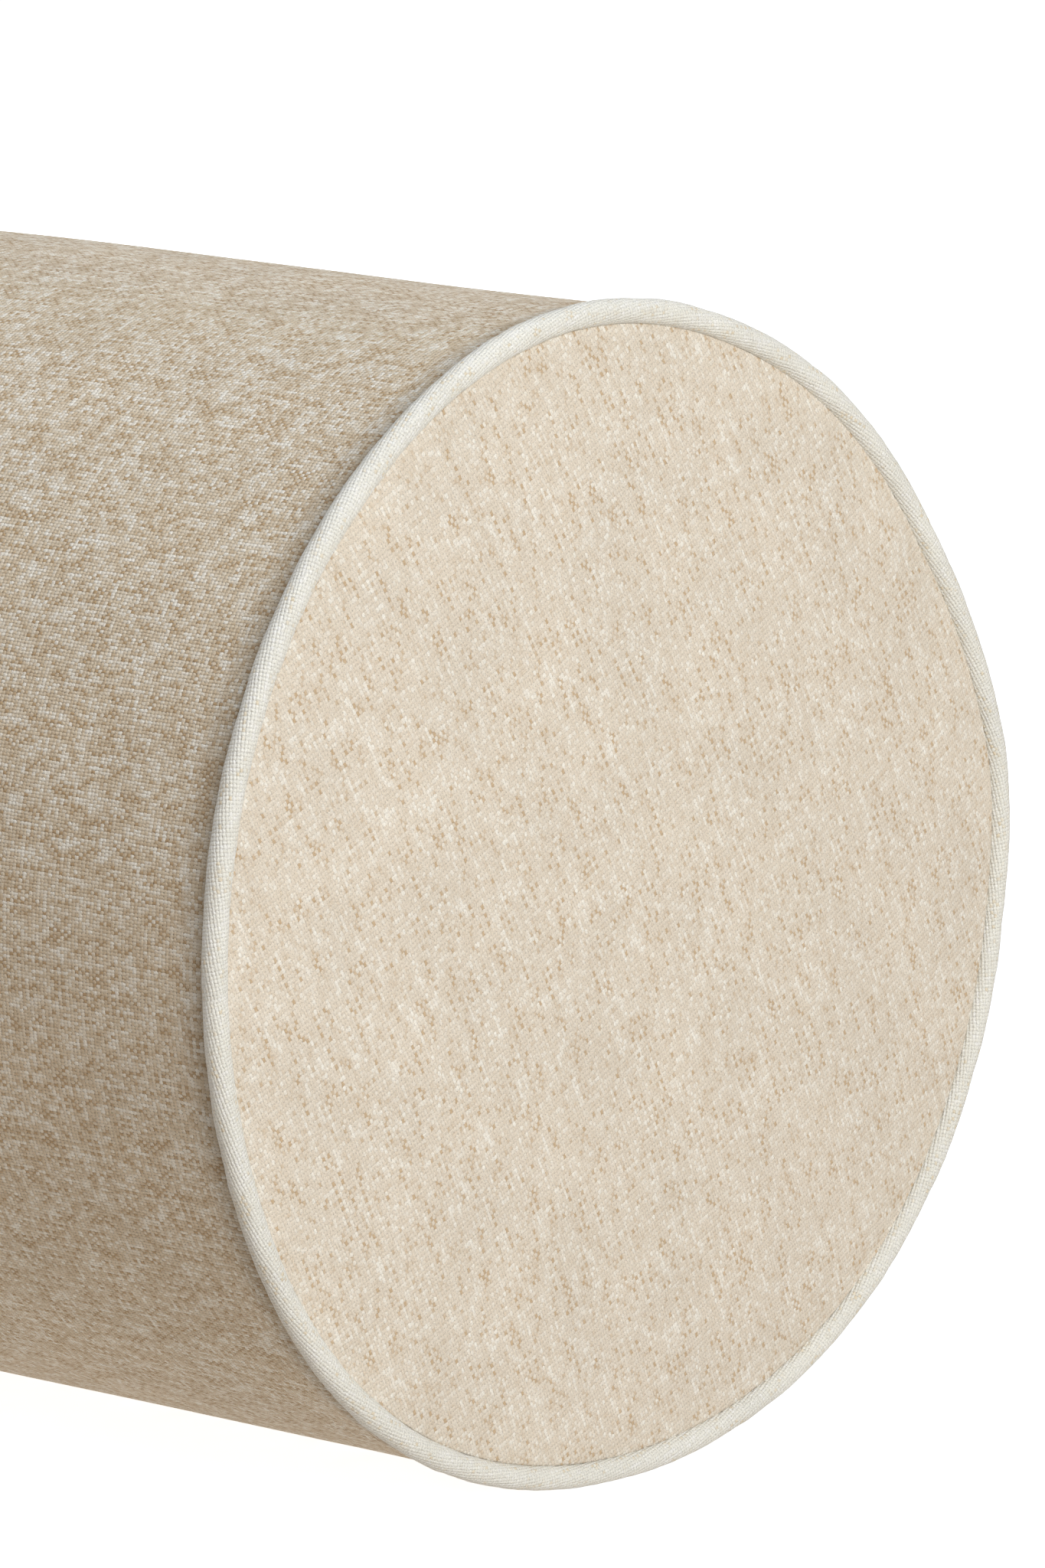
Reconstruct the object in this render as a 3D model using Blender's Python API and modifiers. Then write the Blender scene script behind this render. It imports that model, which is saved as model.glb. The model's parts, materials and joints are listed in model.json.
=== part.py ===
"""A piped bolster pillow with a zip-off woven cover.

The bolster lies along X on a flat strip that its own weight presses into it. Its origin is the middle of that
strip, on the surface it lies on, with +Z up. The near end is at +X and the zip runs along the +Y side.

The cover and the cushion inside it are all turned about the bolster's axis, so each soft piece is a profile
in (x, radius) with a Screw modifier, pressed flat afterwards where the bolster rests. The zip is built in a frame
of its own: local X along the zip, local Z outwards from the bolster's axis.
"""

import math

import bmesh
import bpy
from mathutils import Vector

MM = 0.001

# Driving sizes of the bolster
DIAMETER = 230 * MM  # of the cover's body
SEAM_LENGTH = 648 * MM  # from the middle of one piping to the middle of the other
CONTACT_WIDTH = 34 * MM  # the strip that it rests on
END_CROWN = 6 * MM  # how far an end panel bulges out of its seam
CROWN_POWER = 4  # 2 is a plain dome, and more keeps the middle flatter
GAP = 0.3 * MM  # left between two pieces that touch

# The cover and its piping
FABRIC = 1.0 * MM
PIPING_DIAMETER = 5.0 * MM
PIPING_FABRIC = 0.75 * MM
PIPING_SINK = 1.2 * MM  # the piping's middle lies this far inside the body's surface
MARGIN = 8 * MM  # seam allowance
HEM = 9 * MM  # fabric turned under beside the zip

# The cushion inside
CASING_FABRIC = 0.6 * MM
WADDING = 15 * MM
SHOULDER_POINTS = 3

# The zip
ZIP_ANGLE = math.radians(15)  # above the level of the axis, on the +Y side
ZIP_INSET = 44 * MM  # from each seam to the outer end of the zip's stop
SLIT_OVERRUN = 4 * MM  # the opening in the cover is longer than the zip by this, at each end
TAPE_OVERRUN = 12 * MM
TAPE_WIDTH = 13 * MM
TAPE_THICKNESS = 0.4 * MM
COIL_WIDTH = 1.7 * MM
COIL_HEIGHT = 1.8 * MM
COIL_SLOT = 1.2 * MM  # between the two coils, for the slider's post
STOP_LENGTH = 3 * MM
STOP_WALL = 0.6 * MM
SLIDER_LENGTH = 10 * MM
SLIDER_PLATE = 0.8 * MM
SLIDER_LIP = 0.9 * MM
SLIDER_PLAY = 0.6 * MM  # between a coil and the lip beside it
SLIDER_CLEARANCE = 0.5 * MM  # beside the slider, in the slit
POST_WIDTH = 0.6 * MM
POST_LENGTH = 2 * MM
BRIDGE_WIDTH = 1.0 * MM
BRIDGE_LENGTH = 7.2 * MM
BRIDGE_BAR = 0.8 * MM
PULL_LENGTH = 22 * MM
PULL_WIDTH = 5 * MM
PULL_THICKNESS = 1.0 * MM
PULL_PLAY = 0.3 * MM  # left round the pull's bar as it turns
PULL_ARM = 0.8 * MM

# Sizes worked out from those
RADIUS = DIAMETER / 2
HALF = SEAM_LENGTH / 2
ZIP_LENGTH = SEAM_LENGTH - 2 * ZIP_INSET
CONTACT_ANGLE = math.asin(CONTACT_WIDTH / 2 / RADIUS)
AXIS_HEIGHT = RADIUS * math.cos(CONTACT_ANGLE)
PIPING_RADIUS = PIPING_DIAMETER / 2
RING_RADIUS = RADIUS - PIPING_SINK
SEGMENTS = 2 * math.ceil(math.pi / CONTACT_ANGLE)  # one segment each side of the bottom lies in the strip
APOTHEM = math.cos(math.pi / SEGMENTS)  # a turned piece's flats lie this much nearer the axis
DIAGONAL = math.sqrt(0.5)

# The seam's root, where the piping's two plies leave its round, and the directions there
ROOT = Vector((HALF, RING_RADIUS)) - PIPING_RADIUS * Vector((DIAGONAL, DIAGONAL))
INWARDS = Vector((-DIAGONAL, -DIAGONAL))  # the way all seam allowances point
BODYWARDS = Vector((-DIAGONAL, DIAGONAL))
PLIES = 2 * PIPING_FABRIC + GAP  # the piping's flange, over both plies

# The zip's layers, as distances from the bolster's axis
HEM_OUTER = (RADIUS - FABRIC) * APOTHEM - GAP
HEM_INNER = HEM_OUTER - FABRIC
TAPE_OUTER = HEM_INNER - GAP
TAPE_INNER = TAPE_OUTER - TAPE_THICKNESS
COIL_BOTTOM = TAPE_OUTER + GAP
COIL_TOP = COIL_BOTTOM + COIL_HEIGHT
TOP_PLATE = COIL_TOP + GAP
TOP_PLATE_OUTER = TOP_PLATE + SLIDER_PLATE
LOW_PLATE = TAPE_INNER - GAP
LOW_PLATE_INNER = LOW_PLATE - SLIDER_PLATE
CUSHION_FLAT = LOW_PLATE_INNER - GAP  # the cushion gives way behind the zip as far as this
COIL_INNER = COIL_SLOT / 2
COIL_OUTER = COIL_INNER + COIL_WIDTH
SLIDER_WIDTH = 2 * (COIL_OUTER + SLIDER_PLAY + SLIDER_LIP)
SLIT_WIDTH = SLIDER_WIDTH + 2 * SLIDER_CLEARANCE
SLIDER_REST = -ZIP_LENGTH / 2 + STOP_LENGTH + GAP + SLIDER_LENGTH / 2
PULL_BAR_HALF = PULL_THICKNESS * DIAGONAL  # half the bar's diagonal
HINGE_HEIGHT = TOP_PLATE_OUTER + PULL_PLAY + PULL_BAR_HALF
BRIDGE_UNDER = HINGE_HEIGHT + PULL_BAR_HALF + PULL_PLAY

# The cushion's layers
CUSHION_RADIUS = (RADIUS - FABRIC) * APOTHEM - GAP
CUSHION_END = HALF - 2 * FABRIC - GAP
MARGIN_TIP = ROOT + (MARGIN + 3 * GAP) * INWARDS
PIPING_STAND = RING_RADIUS + PIPING_RADIUS - RADIUS  # how far the piping stands out from the body
# A round shoulder of this radius leaves room for the seam allowances, also where the piping is pressed flat
SHOULDER = (CUSHION_RADIUS + CUSHION_END + PIPING_STAND - MARGIN_TIP.x - MARGIN_TIP.y) / (2 - 2 * DIAGONAL)
PANEL_EDGE = ROOT + FABRIC * INWARDS - (PLIES / 2 + GAP + FABRIC / 2) * BODYWARDS + Vector((FABRIC, 0))
CUSHION_CROWN = PANEL_EDGE.x - FABRIC / 2 + END_CROWN - GAP - CUSHION_END
WADDING_DEPTH = CASING_FABRIC + GAP  # below the cushion's surface
FOAM_DEPTH = WADDING_DEPTH + WADDING + GAP
LAST_STRAIGHT = HALF - 3 * MARGIN  # from here to the seam, the resting strip also takes in the piping


def clear_scene():
    for obj in list(bpy.data.objects):
        bpy.data.objects.remove(obj)


def collection(name):
    made = bpy.data.collections.new(name)
    bpy.context.scene.collection.children.link(made)
    return made


def material(name, colour, roughness, metallic=0.0):
    made = bpy.data.materials.new(name)
    made.use_nodes = True
    shader = made.node_tree.nodes["Principled BSDF"]
    shader.inputs["Base Color"].default_value = (*colour, 1)
    shader.inputs["Roughness"].default_value = roughness
    shader.inputs["Metallic"].default_value = metallic
    return made


def place(name, mesh, finish, parent=None, location=(0, 0, 0)):
    mesh.name = name
    mesh.materials.clear()
    mesh.materials.append(finish)
    obj = bpy.data.objects.new(name, mesh)
    parts.objects.link(obj)
    obj.parent = parent
    obj.location = location
    return obj


# ---- turned soft pieces -------------------------------------------------------------------------------------


def pressed(point, in_cushion):
    """Where a point of an evenly round bolster goes once the bolster rests on a strip of itself. The cover's ends
    give way further, because the piping stands out from them, and the cushion also gives way behind the zip."""
    radius = math.hypot(point.y, point.z)
    if radius < MM:
        return point
    near_seam = min(1, max(0, (abs(point.x) - LAST_STRAIGHT) / (2 * MARGIN)))
    outermost = RADIUS if in_cushion else RADIUS + near_seam * PIPING_STAND
    down = -point.z / radius
    share = min(1, AXIS_HEIGHT / outermost / max(down, 0.1))
    if in_cushion:
        out = (point.y * math.cos(ZIP_ANGLE) + point.z * math.sin(ZIP_ANGLE)) / radius
        share *= min(1, CUSHION_FLAT / CUSHION_RADIUS / max(out, 0.1))
    return Vector((point.x, point.y * share, point.z * share))


def turned(name, profile, finish, closed=True, segments=SEGMENTS, in_cushion=False):
    """A profile of (x, radius) points turned about the bolster's axis. An open profile starts and ends on it."""
    mesh = bpy.data.meshes.new(name)
    count = len(profile)
    edges = [(i, (i + 1) % count) for i in range(count if closed else count - 1)]
    mesh.from_pydata([(x, 0, -radius) for x, radius in profile], edges, [])
    draft = bpy.data.objects.new(name, mesh)
    bpy.context.scene.collection.objects.link(draft)
    screw = draft.modifiers.new("Turn", "SCREW")
    screw.axis = "X"
    screw.steps = screw.render_steps = segments
    screw.use_merge_vertices = True
    screw.merge_threshold = 0.00001
    solid = evaluated_mesh(draft)
    bpy.data.objects.remove(draft)
    for vertex in solid.vertices:
        vertex.co = pressed(vertex.co, in_cushion)
    point_outwards(solid)
    solid.shade_smooth()
    solid.set_sharp_from_angle(angle=math.radians(35))
    return place(name, solid, finish, location=(0, 0, AXIS_HEIGHT))


def evaluated_mesh(obj):
    bpy.context.view_layer.update()
    graph = bpy.context.evaluated_depsgraph_get()
    return bpy.data.meshes.new_from_object(obj.evaluated_get(graph))


def point_outwards(mesh):
    shape = bmesh.new()
    shape.from_mesh(mesh)
    bmesh.ops.remove_doubles(shape, verts=shape.verts, dist=0.00001)
    bmesh.ops.recalc_face_normals(shape, faces=shape.faces)
    shape.to_mesh(mesh)
    shape.free()


def strip(line, thickness):
    """The outline of a strip of cloth that follows a line of (x, radius) points, mitred at each bend."""
    sides = ([], [])
    for i, point in enumerate(line):
        before = (point - line[i - 1]).normalized() if i else (line[1] - point).normalized()
        after = (line[i + 1] - point).normalized() if i + 1 < len(line) else before
        across = Vector((-before.y - after.y, before.x + after.x)).normalized()
        mitre = 1 / max(0.5, across.dot(Vector((-before.y, before.x))))
        for side, sign in zip(sides, (1, -1)):
            side.append(point + sign * mitre * thickness / 2 * across)
    return sides[0] + sides[1][::-1]


def mirrored(profile):
    """The same profile at the far end."""
    return [Vector((-point.x, point.y)) for point in profile][::-1]


def crown(radius, edge_radius):
    return END_CROWN * (1 - (radius / edge_radius) ** CROWN_POWER)


def beside_plies(layer_middle, along, side):
    """A point beside the piping's flange, along the way that the seam allowances point."""
    return ROOT + along * INWARDS + side * (PLIES / 2 + GAP + layer_middle) * BODYWARDS


def cover_body_profile():
    """Straight along the body, rolled down behind the piping, and into the seam allowance, at both ends."""
    surface = RADIUS - FABRIC / 2
    clear = PIPING_RADIUS + GAP + FABRIC / 2
    behind = Vector((HALF - clear, RING_RADIUS - 0.3 * PIPING_RADIUS))
    into_seam = beside_plies(FABRIC / 2, FABRIC, 1)
    tip = beside_plies(FABRIC / 2, MARGIN, 1)
    straight = Vector((LAST_STRAIGHT, surface))
    start = Vector((HALF - clear - FABRIC, surface))
    shoulder = Vector((HALF - clear - 0.2 * FABRIC, surface - 0.4 * FABRIC))
    near = [straight, start, shoulder, behind, into_seam, tip]
    return strip(mirrored(near) + near, FABRIC)


def end_panel_profile():
    """From the middle of the crown to the seam and back along its allowance, then back to the middle."""
    into_seam = beside_plies(FABRIC / 2, FABRIC, -1)
    tip = beside_plies(FABRIC / 2, MARGIN, -1)
    edge = PANEL_EDGE
    outer = [Vector((edge.x + FABRIC / 2 + crown(edge.y * share, edge.y), edge.y * share))
             for share in (0, 0.5, 0.75, 0.9, 1)]
    outer[-1].y += FABRIC / 2
    inner = [Vector((point.x - FABRIC, point.y)) for point in outer[:-1]]
    across = FABRIC / 2 * BODYWARDS
    hem = [into_seam - across + Vector((0, FABRIC / 2)), into_seam + across, tip + across, tip - across]
    fold = Vector((edge.x - FABRIC / 4, edge.y - FABRIC))
    return outer + hem[1:] + [fold] + inner[::-1]


def round_points(middle, radius, first, last, count):
    turn = (last - first) / (count - 1)
    return [middle + radius * Vector((math.cos(first + turn * i), math.sin(first + turn * i))) for i in range(count)]


def piping_profile():
    """A strip of fabric round the cord, with both its plies carried inwards as a flange."""
    middle = Vector((HALF, RING_RADIUS))
    way = math.atan2(INWARDS.y, INWARDS.x)
    inner_radius = PIPING_RADIUS - PIPING_FABRIC
    outer_open = math.asin(PLIES / 2 / PIPING_RADIUS)
    inner_open = math.asin(GAP / 2 / inner_radius)
    outer = round_points(middle, PIPING_RADIUS, way + outer_open, way + 2 * math.pi - outer_open, 9)
    inner = round_points(middle, inner_radius, way + 2 * math.pi - inner_open, way + inner_open, 7)
    tips = [ROOT + MARGIN * INWARDS + side * BODYWARDS for side in (PLIES / 2, GAP / 2, -GAP / 2, -PLIES / 2)]
    return outer + tips[:2] + inner + tips[2:]


def cord_profile():
    middle = Vector((HALF, RING_RADIUS))
    radius = (PIPING_RADIUS - PIPING_FABRIC) * math.cos(math.pi / 6) - GAP
    return round_points(middle, radius, 0, 2 * math.pi, 8)[:-1]


def shoulder_line(depth):
    """From the straight wall of the cushion, round its shoulder, to its end seam, this far below its surface."""
    middle = Vector((CUSHION_END - SHOULDER, CUSHION_RADIUS - SHOULDER))
    line = round_points(middle, SHOULDER - depth, math.pi / 2, 0, SHOULDER_POINTS + 2)
    return line + [line[-1] - Vector((0, FABRIC))]


def crowned_line(depth):
    """From the end seam of the cushion to the middle of its end, this far below its surface."""
    end, edge = shoulder_line(depth)[-1]
    return [Vector((end + CUSHION_CROWN * (1 - share ** 2), edge * share)) for share in (0.9, 0.5, 0)]


def layer_tube(depth, thickness):
    near = shoulder_line(depth + thickness / 2)
    return strip(mirrored(near) + near, thickness)


def layer_end(depth, thickness):
    """The crowned disc that closes a cushion layer, a gap inside its tube's end."""
    end, edge = shoulder_line(depth)[-1]
    outer = [Vector((end, edge - GAP))] + crowned_line(depth)
    return [Vector((point.x - thickness, point.y)) for point in outer][::-1] + outer


def core_profile():
    line = shoulder_line(FOAM_DEPTH) + crowned_line(FOAM_DEPTH)
    return mirrored(line) + line


# ---- zip ----------------------------------------------------------------------------------------------------


def box(low, high):
    """A box mesh between two corners."""
    mesh = bpy.data.meshes.new("box")
    shape = bmesh.new()
    bmesh.ops.create_cube(shape, size=1)
    low, high = Vector(low), Vector(high)
    for vertex in shape.verts:
        vertex.co = (low + high) / 2 + vertex.co * (high - low)
    shape.to_mesh(mesh)
    shape.free()
    return mesh


def plate(outlines, thickness):
    """A flat plate in local X and Y. Outlines after the first are holes in it."""
    curve = bpy.data.curves.new("plate", "CURVE")
    curve.dimensions = "2D"
    curve.fill_mode = "BOTH"
    curve.extrude = thickness / 2
    for outline in outlines:
        spline = curve.splines.new("POLY")
        spline.points.add(len(outline) - 1)
        spline.use_cyclic_u = True
        for point, (x, y) in zip(spline.points, outline):
            point.co = (x, y, 0, 1)
    return curve_mesh(curve)


def curve_mesh(curve):
    draft = bpy.data.objects.new("draft", curve)
    bpy.context.scene.collection.objects.link(draft)
    mesh = evaluated_mesh(draft)
    bpy.data.objects.remove(draft)
    point_outwards(mesh)
    return mesh


def moved(mesh, offset):
    for vertex in mesh.vertices:
        vertex.co += Vector(offset)
    return mesh


def boolean(obj, operation, meshes, parent=None):
    """Cuts meshes from an object, or joins them to it."""
    for mesh in meshes:
        tool = bpy.data.objects.new("cutter", mesh)
        cutters.objects.link(tool)
        tool.parent = parent
        tool.hide_render = True
        tool.display_type = "WIRE"
        step = obj.modifiers.new(operation.title(), "BOOLEAN")
        step.operation = operation
        step.object = tool


def arc_strip(inner, outer, first, last, length, lip=None):
    """A strip curved about the bolster's axis, from first to last across the zip. lip, if given, is the radius and
    the width of a raised edge beside the slit."""
    side = math.copysign(1, last)
    angles = [first + (last - first) * i / 3 for i in range(4)]

    def around(radius, across):
        turn = across / radius
        return (radius * math.cos(turn), radius * math.sin(turn))

    outline = [around(inner, across) for across in angles]
    outline += [around(outer, across) for across in angles[::-1]]
    if lip:
        radius, width = lip
        outline[-1:] = [around(outer, first + side * width), around(radius, first + side * width),
                        around(radius, first)]
    mesh = plate([outline], length)
    # The outline's X is outwards and its Y is across the zip: the plate is turned to run along the zip.
    for vertex in mesh.vertices:
        out, across, along = vertex.co
        vertex.co = (along, across, out)
    point_outwards(mesh)
    return mesh


def zip_coil(name, side):
    """One row of the closed zip, as the plain bar that its coil fills."""
    bpy.ops.mesh.primitive_cylinder_add(vertices=8, radius=0.5, depth=ZIP_LENGTH - 2 * STOP_LENGTH - 2 * GAP)
    bar = bpy.context.object
    mesh = bar.data
    flat = math.cos(math.pi / 8)
    for vertex in mesh.vertices:
        across, out, along = vertex.co
        turned_across = across * flat - out * math.sin(math.pi / 8)
        turned_out = across * math.sin(math.pi / 8) + out * flat
        vertex.co = (along, turned_across * COIL_WIDTH / flat, turned_out * COIL_HEIGHT / flat)
    bpy.data.objects.remove(bar)
    point_outwards(mesh)
    middle = (COIL_INNER + COIL_WIDTH / 2) * side
    return place(name, mesh, nylon, zip_frame, (0, middle, (COIL_BOTTOM + COIL_TOP) / 2))


def stop(name, x, inner, outer):
    """A metal clip over the coils, between two distances across the zip, sitting on the tape."""
    across = (inner + outer) / 2
    width = outer - inner
    clip = place(name, box((0, -width / 2, 0), (STOP_LENGTH, width / 2, COIL_HEIGHT + GAP + STOP_WALL)), metal,
                 zip_frame, (x, across, COIL_BOTTOM))
    hollow = box((STOP_WALL, -width / 2 + STOP_WALL, -MM), (STOP_LENGTH + MM, width / 2 - STOP_WALL, COIL_HEIGHT + GAP))
    boolean(clip, "DIFFERENCE", [moved(hollow, clip.location)], zip_frame)
    return clip


def slider_plate_mesh(inner):
    """A slider's plate: full width at its mouth and narrower at its tail."""
    half, length = SLIDER_WIDTH / 2, SLIDER_LENGTH / 2
    sides = [(-length, 0.65 * half), (-0.85 * length, half), (0.35 * length, half), (length, 0.75 * half)]
    outline = sides + [(x, -y) for x, y in sides[::-1]]
    return moved(plate([outline], SLIDER_PLATE), (0, 0, inner + SLIDER_PLATE / 2))


def zip_slider():
    """Two plates joined by a post between the coils, lips beside them, and a bridge that holds the pull."""
    half, length = SLIDER_WIDTH / 2, SLIDER_LENGTH / 2
    middle = (TOP_PLATE_OUTER + LOW_PLATE_INNER) / 2
    bite = SLIDER_PLATE / 2
    slider = place("zip_slider", moved(slider_plate_mesh(TOP_PLATE), (0, 0, -middle)), enamel, zip_frame,
                   (SLIDER_REST, 0, middle))
    pieces = [slider_plate_mesh(LOW_PLATE_INNER),
              box((-0.8 * length, -POST_WIDTH / 2, LOW_PLATE - bite),
                  (-0.8 * length + POST_LENGTH, POST_WIDTH / 2, TOP_PLATE + bite))]
    for side in (-1, 1):
        lip = sorted((side * (half - 0.05 * MM), side * (half - SLIDER_LIP)))
        pieces.append(box((-0.75 * length, lip[0], TAPE_OUTER + GAP), (0.3 * length, lip[1], TOP_PLATE + bite)))
        foot = sorted((side * BRIDGE_LENGTH / 2, side * (BRIDGE_LENGTH / 2 - BRIDGE_WIDTH)))
        pieces.append(box((foot[0], -BRIDGE_WIDTH / 2, TOP_PLATE_OUTER - bite),
                          (foot[1], BRIDGE_WIDTH / 2, BRIDGE_UNDER + BRIDGE_BAR / 2)))
    reach = BRIDGE_LENGTH / 2 - 0.1 * MM
    pieces.append(box((-reach, -0.45 * BRIDGE_WIDTH, BRIDGE_UNDER), (reach, 0.45 * BRIDGE_WIDTH,
                                                                    BRIDGE_UNDER + BRIDGE_BAR)))
    boolean(slider, "UNION", [moved(piece, (SLIDER_REST, 0, 0)) for piece in pieces], zip_frame)
    return slider


def zip_pull():
    """A flat tab whose eye goes round the slider's bridge. It turns about the bar at the eye's end."""
    bar = PULL_THICKNESS / 2
    eye_half = BRIDGE_WIDTH / 2 + 0.6 * MM
    neck = eye_half + PULL_ARM
    eye_length = BRIDGE_LENGTH / 2 + 2 * MM
    tip = PULL_LENGTH - PULL_WIDTH / 2
    end = [(tip + PULL_WIDTH / 2 * math.sin(turn), PULL_WIDTH / 2 * math.cos(turn))
           for turn in [math.pi * i / 8 for i in range(9)]]
    outline = [(-bar, -neck), (-bar, neck), (eye_length, neck)] + end + [(eye_length, -neck)]
    eye = [(bar, -eye_half), (bar, eye_half), (eye_length, eye_half), (eye_length, -eye_half)]
    return place("zip_pull", plate([outline, eye], PULL_THICKNESS), enamel, zip_frame, (SLIDER_REST, 0, HINGE_HEIGHT))


def make_zip():
    slit_half = SLIT_WIDTH / 2
    slit_length = ZIP_LENGTH / 2 + SLIT_OVERRUN
    cover = bpy.data.objects["cover_body"]
    hems = [arc_strip(HEM_INNER, HEM_OUTER, side * slit_half, side * (slit_half + HEM), 2 * slit_length + 2 * HEM,
                      lip=(RADIUS - FABRIC / 2, FABRIC)) for side in (-1, 1)]
    boolean(cover, "UNION", hems, zip_frame)
    slit = box((-slit_length, -slit_half, CUSHION_FLAT), (slit_length, slit_half, RADIUS + FABRIC))
    boolean(cover, "DIFFERENCE", [slit], zip_frame)

    clip_outer = COIL_OUTER + GAP + STOP_WALL
    for name, side in (("upper", -1), ("lower", 1)):
        tape = arc_strip(TAPE_INNER, TAPE_OUTER, side * COIL_INNER, side * (COIL_INNER + TAPE_WIDTH),
                         ZIP_LENGTH + 2 * TAPE_OVERRUN)
        place("zip_tape_" + name, tape, tape_cloth, zip_frame)
        zip_coil("zip_coil_" + name, side)
        edges = sorted((side * GAP / 2, side * clip_outer))
        stop("zip_top_stop_" + name, -ZIP_LENGTH / 2, *edges)
    bottom = stop("zip_bottom_stop", ZIP_LENGTH / 2 - STOP_LENGTH, -clip_outer, clip_outer)
    zip_slider()
    zip_pull()
    return bottom


clear_scene()
parts = collection("bolster_pillow")
cutters = collection("cutters")

woven = material("woven_cover", (0.62, 0.53, 0.42), 0.9)
piping_cloth = material("piping_cloth", (0.83, 0.81, 0.74), 0.9)
cotton = material("cotton_cord", (0.86, 0.84, 0.78), 0.95)
calico = material("calico", (0.85, 0.81, 0.72), 0.9)
fibre = material("polyester_wadding", (0.93, 0.93, 0.92), 1.0)
foam = material("foam", (0.86, 0.82, 0.62), 0.95)
tape_cloth = material("zip_tape", (0.76, 0.70, 0.60), 0.8)
nylon = material("nylon_coil", (0.80, 0.75, 0.66), 0.35)
metal = material("stop_metal", (0.70, 0.69, 0.66), 0.35, 1.0)
enamel = material("slider_enamel", (0.78, 0.72, 0.62), 0.4)

zip_frame = bpy.data.objects.new("zip_frame", None)
parts.objects.link(zip_frame)
zip_frame.location = (0, 0, AXIS_HEIGHT)
zip_frame.rotation_euler = (ZIP_ANGLE - math.pi / 2, 0, 0)

turned("cover_body", cover_body_profile(), woven)
inner_turn = {"segments": SEGMENTS // 2, "in_cushion": True}
for place_name, at_end in (("near", lambda profile: profile), ("far", mirrored)):
    turned("end_panel_" + place_name, at_end(end_panel_profile()), woven, closed=False)
    turned("piping_" + place_name, at_end(piping_profile()), piping_cloth)
    turned("piping_cord_" + place_name, at_end(cord_profile()), cotton)
    turned("casing_end_" + place_name, at_end(layer_end(0, CASING_FABRIC)), calico, closed=False, **inner_turn)
    turned("wadding_end_" + place_name, at_end(layer_end(WADDING_DEPTH, WADDING)), fibre, closed=False,
           **inner_turn)
turned("casing_body", layer_tube(0, CASING_FABRIC), calico, **inner_turn)
turned("wadding_wrap", layer_tube(WADDING_DEPTH, WADDING), fibre, **inner_turn)
turned("foam_core", core_profile(), foam, closed=False, **inner_turn)
make_zip()
print("axis height", AXIS_HEIGHT, "segments", SEGMENTS)
print("slider rest", SLIDER_REST, "hinge height", HINGE_HEIGHT, "travel", -2 * SLIDER_REST)
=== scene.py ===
# %% [markdown]
# # A bolster pillow
#
# This lesson builds the look of a piped bolster pillow in Blender, piece by piece. The pillow has a cover of slubby
# woven cloth, an ivory piping round each end, and a zip along its back. The cushion inside has a casing, a wrap of
# wadding and a foam core.
#
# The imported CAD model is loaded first, as a fixed frame. Every size and place below is read from it, so the fine
# pieces land where the solid ones are.

# %% Load the frame
import json
import math
from functools import partial

import bmesh
import bpy
import numpy as np
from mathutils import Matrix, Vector, noise
from mathutils.bvhtree import BVHTree

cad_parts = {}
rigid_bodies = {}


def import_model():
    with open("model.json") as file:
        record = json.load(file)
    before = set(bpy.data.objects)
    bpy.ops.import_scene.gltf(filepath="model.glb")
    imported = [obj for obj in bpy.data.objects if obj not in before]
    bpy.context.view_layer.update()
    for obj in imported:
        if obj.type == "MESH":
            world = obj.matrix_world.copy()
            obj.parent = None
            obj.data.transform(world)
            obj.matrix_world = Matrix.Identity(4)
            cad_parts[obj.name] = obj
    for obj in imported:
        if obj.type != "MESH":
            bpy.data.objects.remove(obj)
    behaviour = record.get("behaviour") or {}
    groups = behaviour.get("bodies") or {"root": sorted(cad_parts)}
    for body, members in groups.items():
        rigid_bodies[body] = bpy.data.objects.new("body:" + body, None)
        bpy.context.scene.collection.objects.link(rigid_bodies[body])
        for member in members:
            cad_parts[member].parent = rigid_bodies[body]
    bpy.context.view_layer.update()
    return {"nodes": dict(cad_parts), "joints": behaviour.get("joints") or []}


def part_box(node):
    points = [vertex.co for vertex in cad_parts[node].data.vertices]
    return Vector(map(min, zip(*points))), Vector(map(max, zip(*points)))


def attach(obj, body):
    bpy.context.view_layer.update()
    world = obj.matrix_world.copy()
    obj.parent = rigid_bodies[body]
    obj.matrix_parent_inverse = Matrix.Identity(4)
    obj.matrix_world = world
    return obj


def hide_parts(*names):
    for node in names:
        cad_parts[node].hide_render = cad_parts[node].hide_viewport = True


for leftover in list(bpy.data.objects):
    bpy.data.objects.remove(leftover)
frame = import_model()
MM = 0.001

# %% [markdown]
# ## Sizes
#
# The bolster is turned about a level axis along X. The cover's box gives its radius and the height of that axis, the
# piping's box gives the two seams, and the pull's hinge gives the side that the zip is on. A direction round the
# axis is an angle from +Y, rising towards +Z.

# %% Read the sizes
cover_low, cover_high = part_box("cover_body")
piping_high, panel_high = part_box("piping_near")[1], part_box("end_panel_near")[1]
RADIUS = (cover_high.y - cover_low.y) / 2
AXIS = Vector((0, 0, cover_high.z - RADIUS))
PIPING = 2.5 * MM  # radius of the piping, over its cloth
RING = piping_high.y - PIPING  # from the axis to the middle of the piping
SEAM = piping_high.x - PIPING  # from the bolster's middle to the middle of the piping
CROWN = panel_high.x - SEAM  # how far an end panel stands out past its seam
hinge = next(joint for joint in frame["joints"] if joint["name"] == "pull_hinge")
ZIP_ANGLE = math.atan2(hinge["pos_m"][2] - AXIS.z, hinge["pos_m"][1])
OUT = Vector((0, math.cos(ZIP_ANGLE), math.sin(ZIP_ANGLE)))
ACROSS = Vector((0, math.sin(ZIP_ANGLE), -math.cos(ZIP_ANGLE)))


def reach(node, direction):
    """How far a CAD node goes along a direction from the bolster's axis: its least and its most."""
    found = [(vertex.co - AXIS).dot(direction) for vertex in frame["nodes"][node].data.vertices]
    return min(found), max(found)


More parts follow.
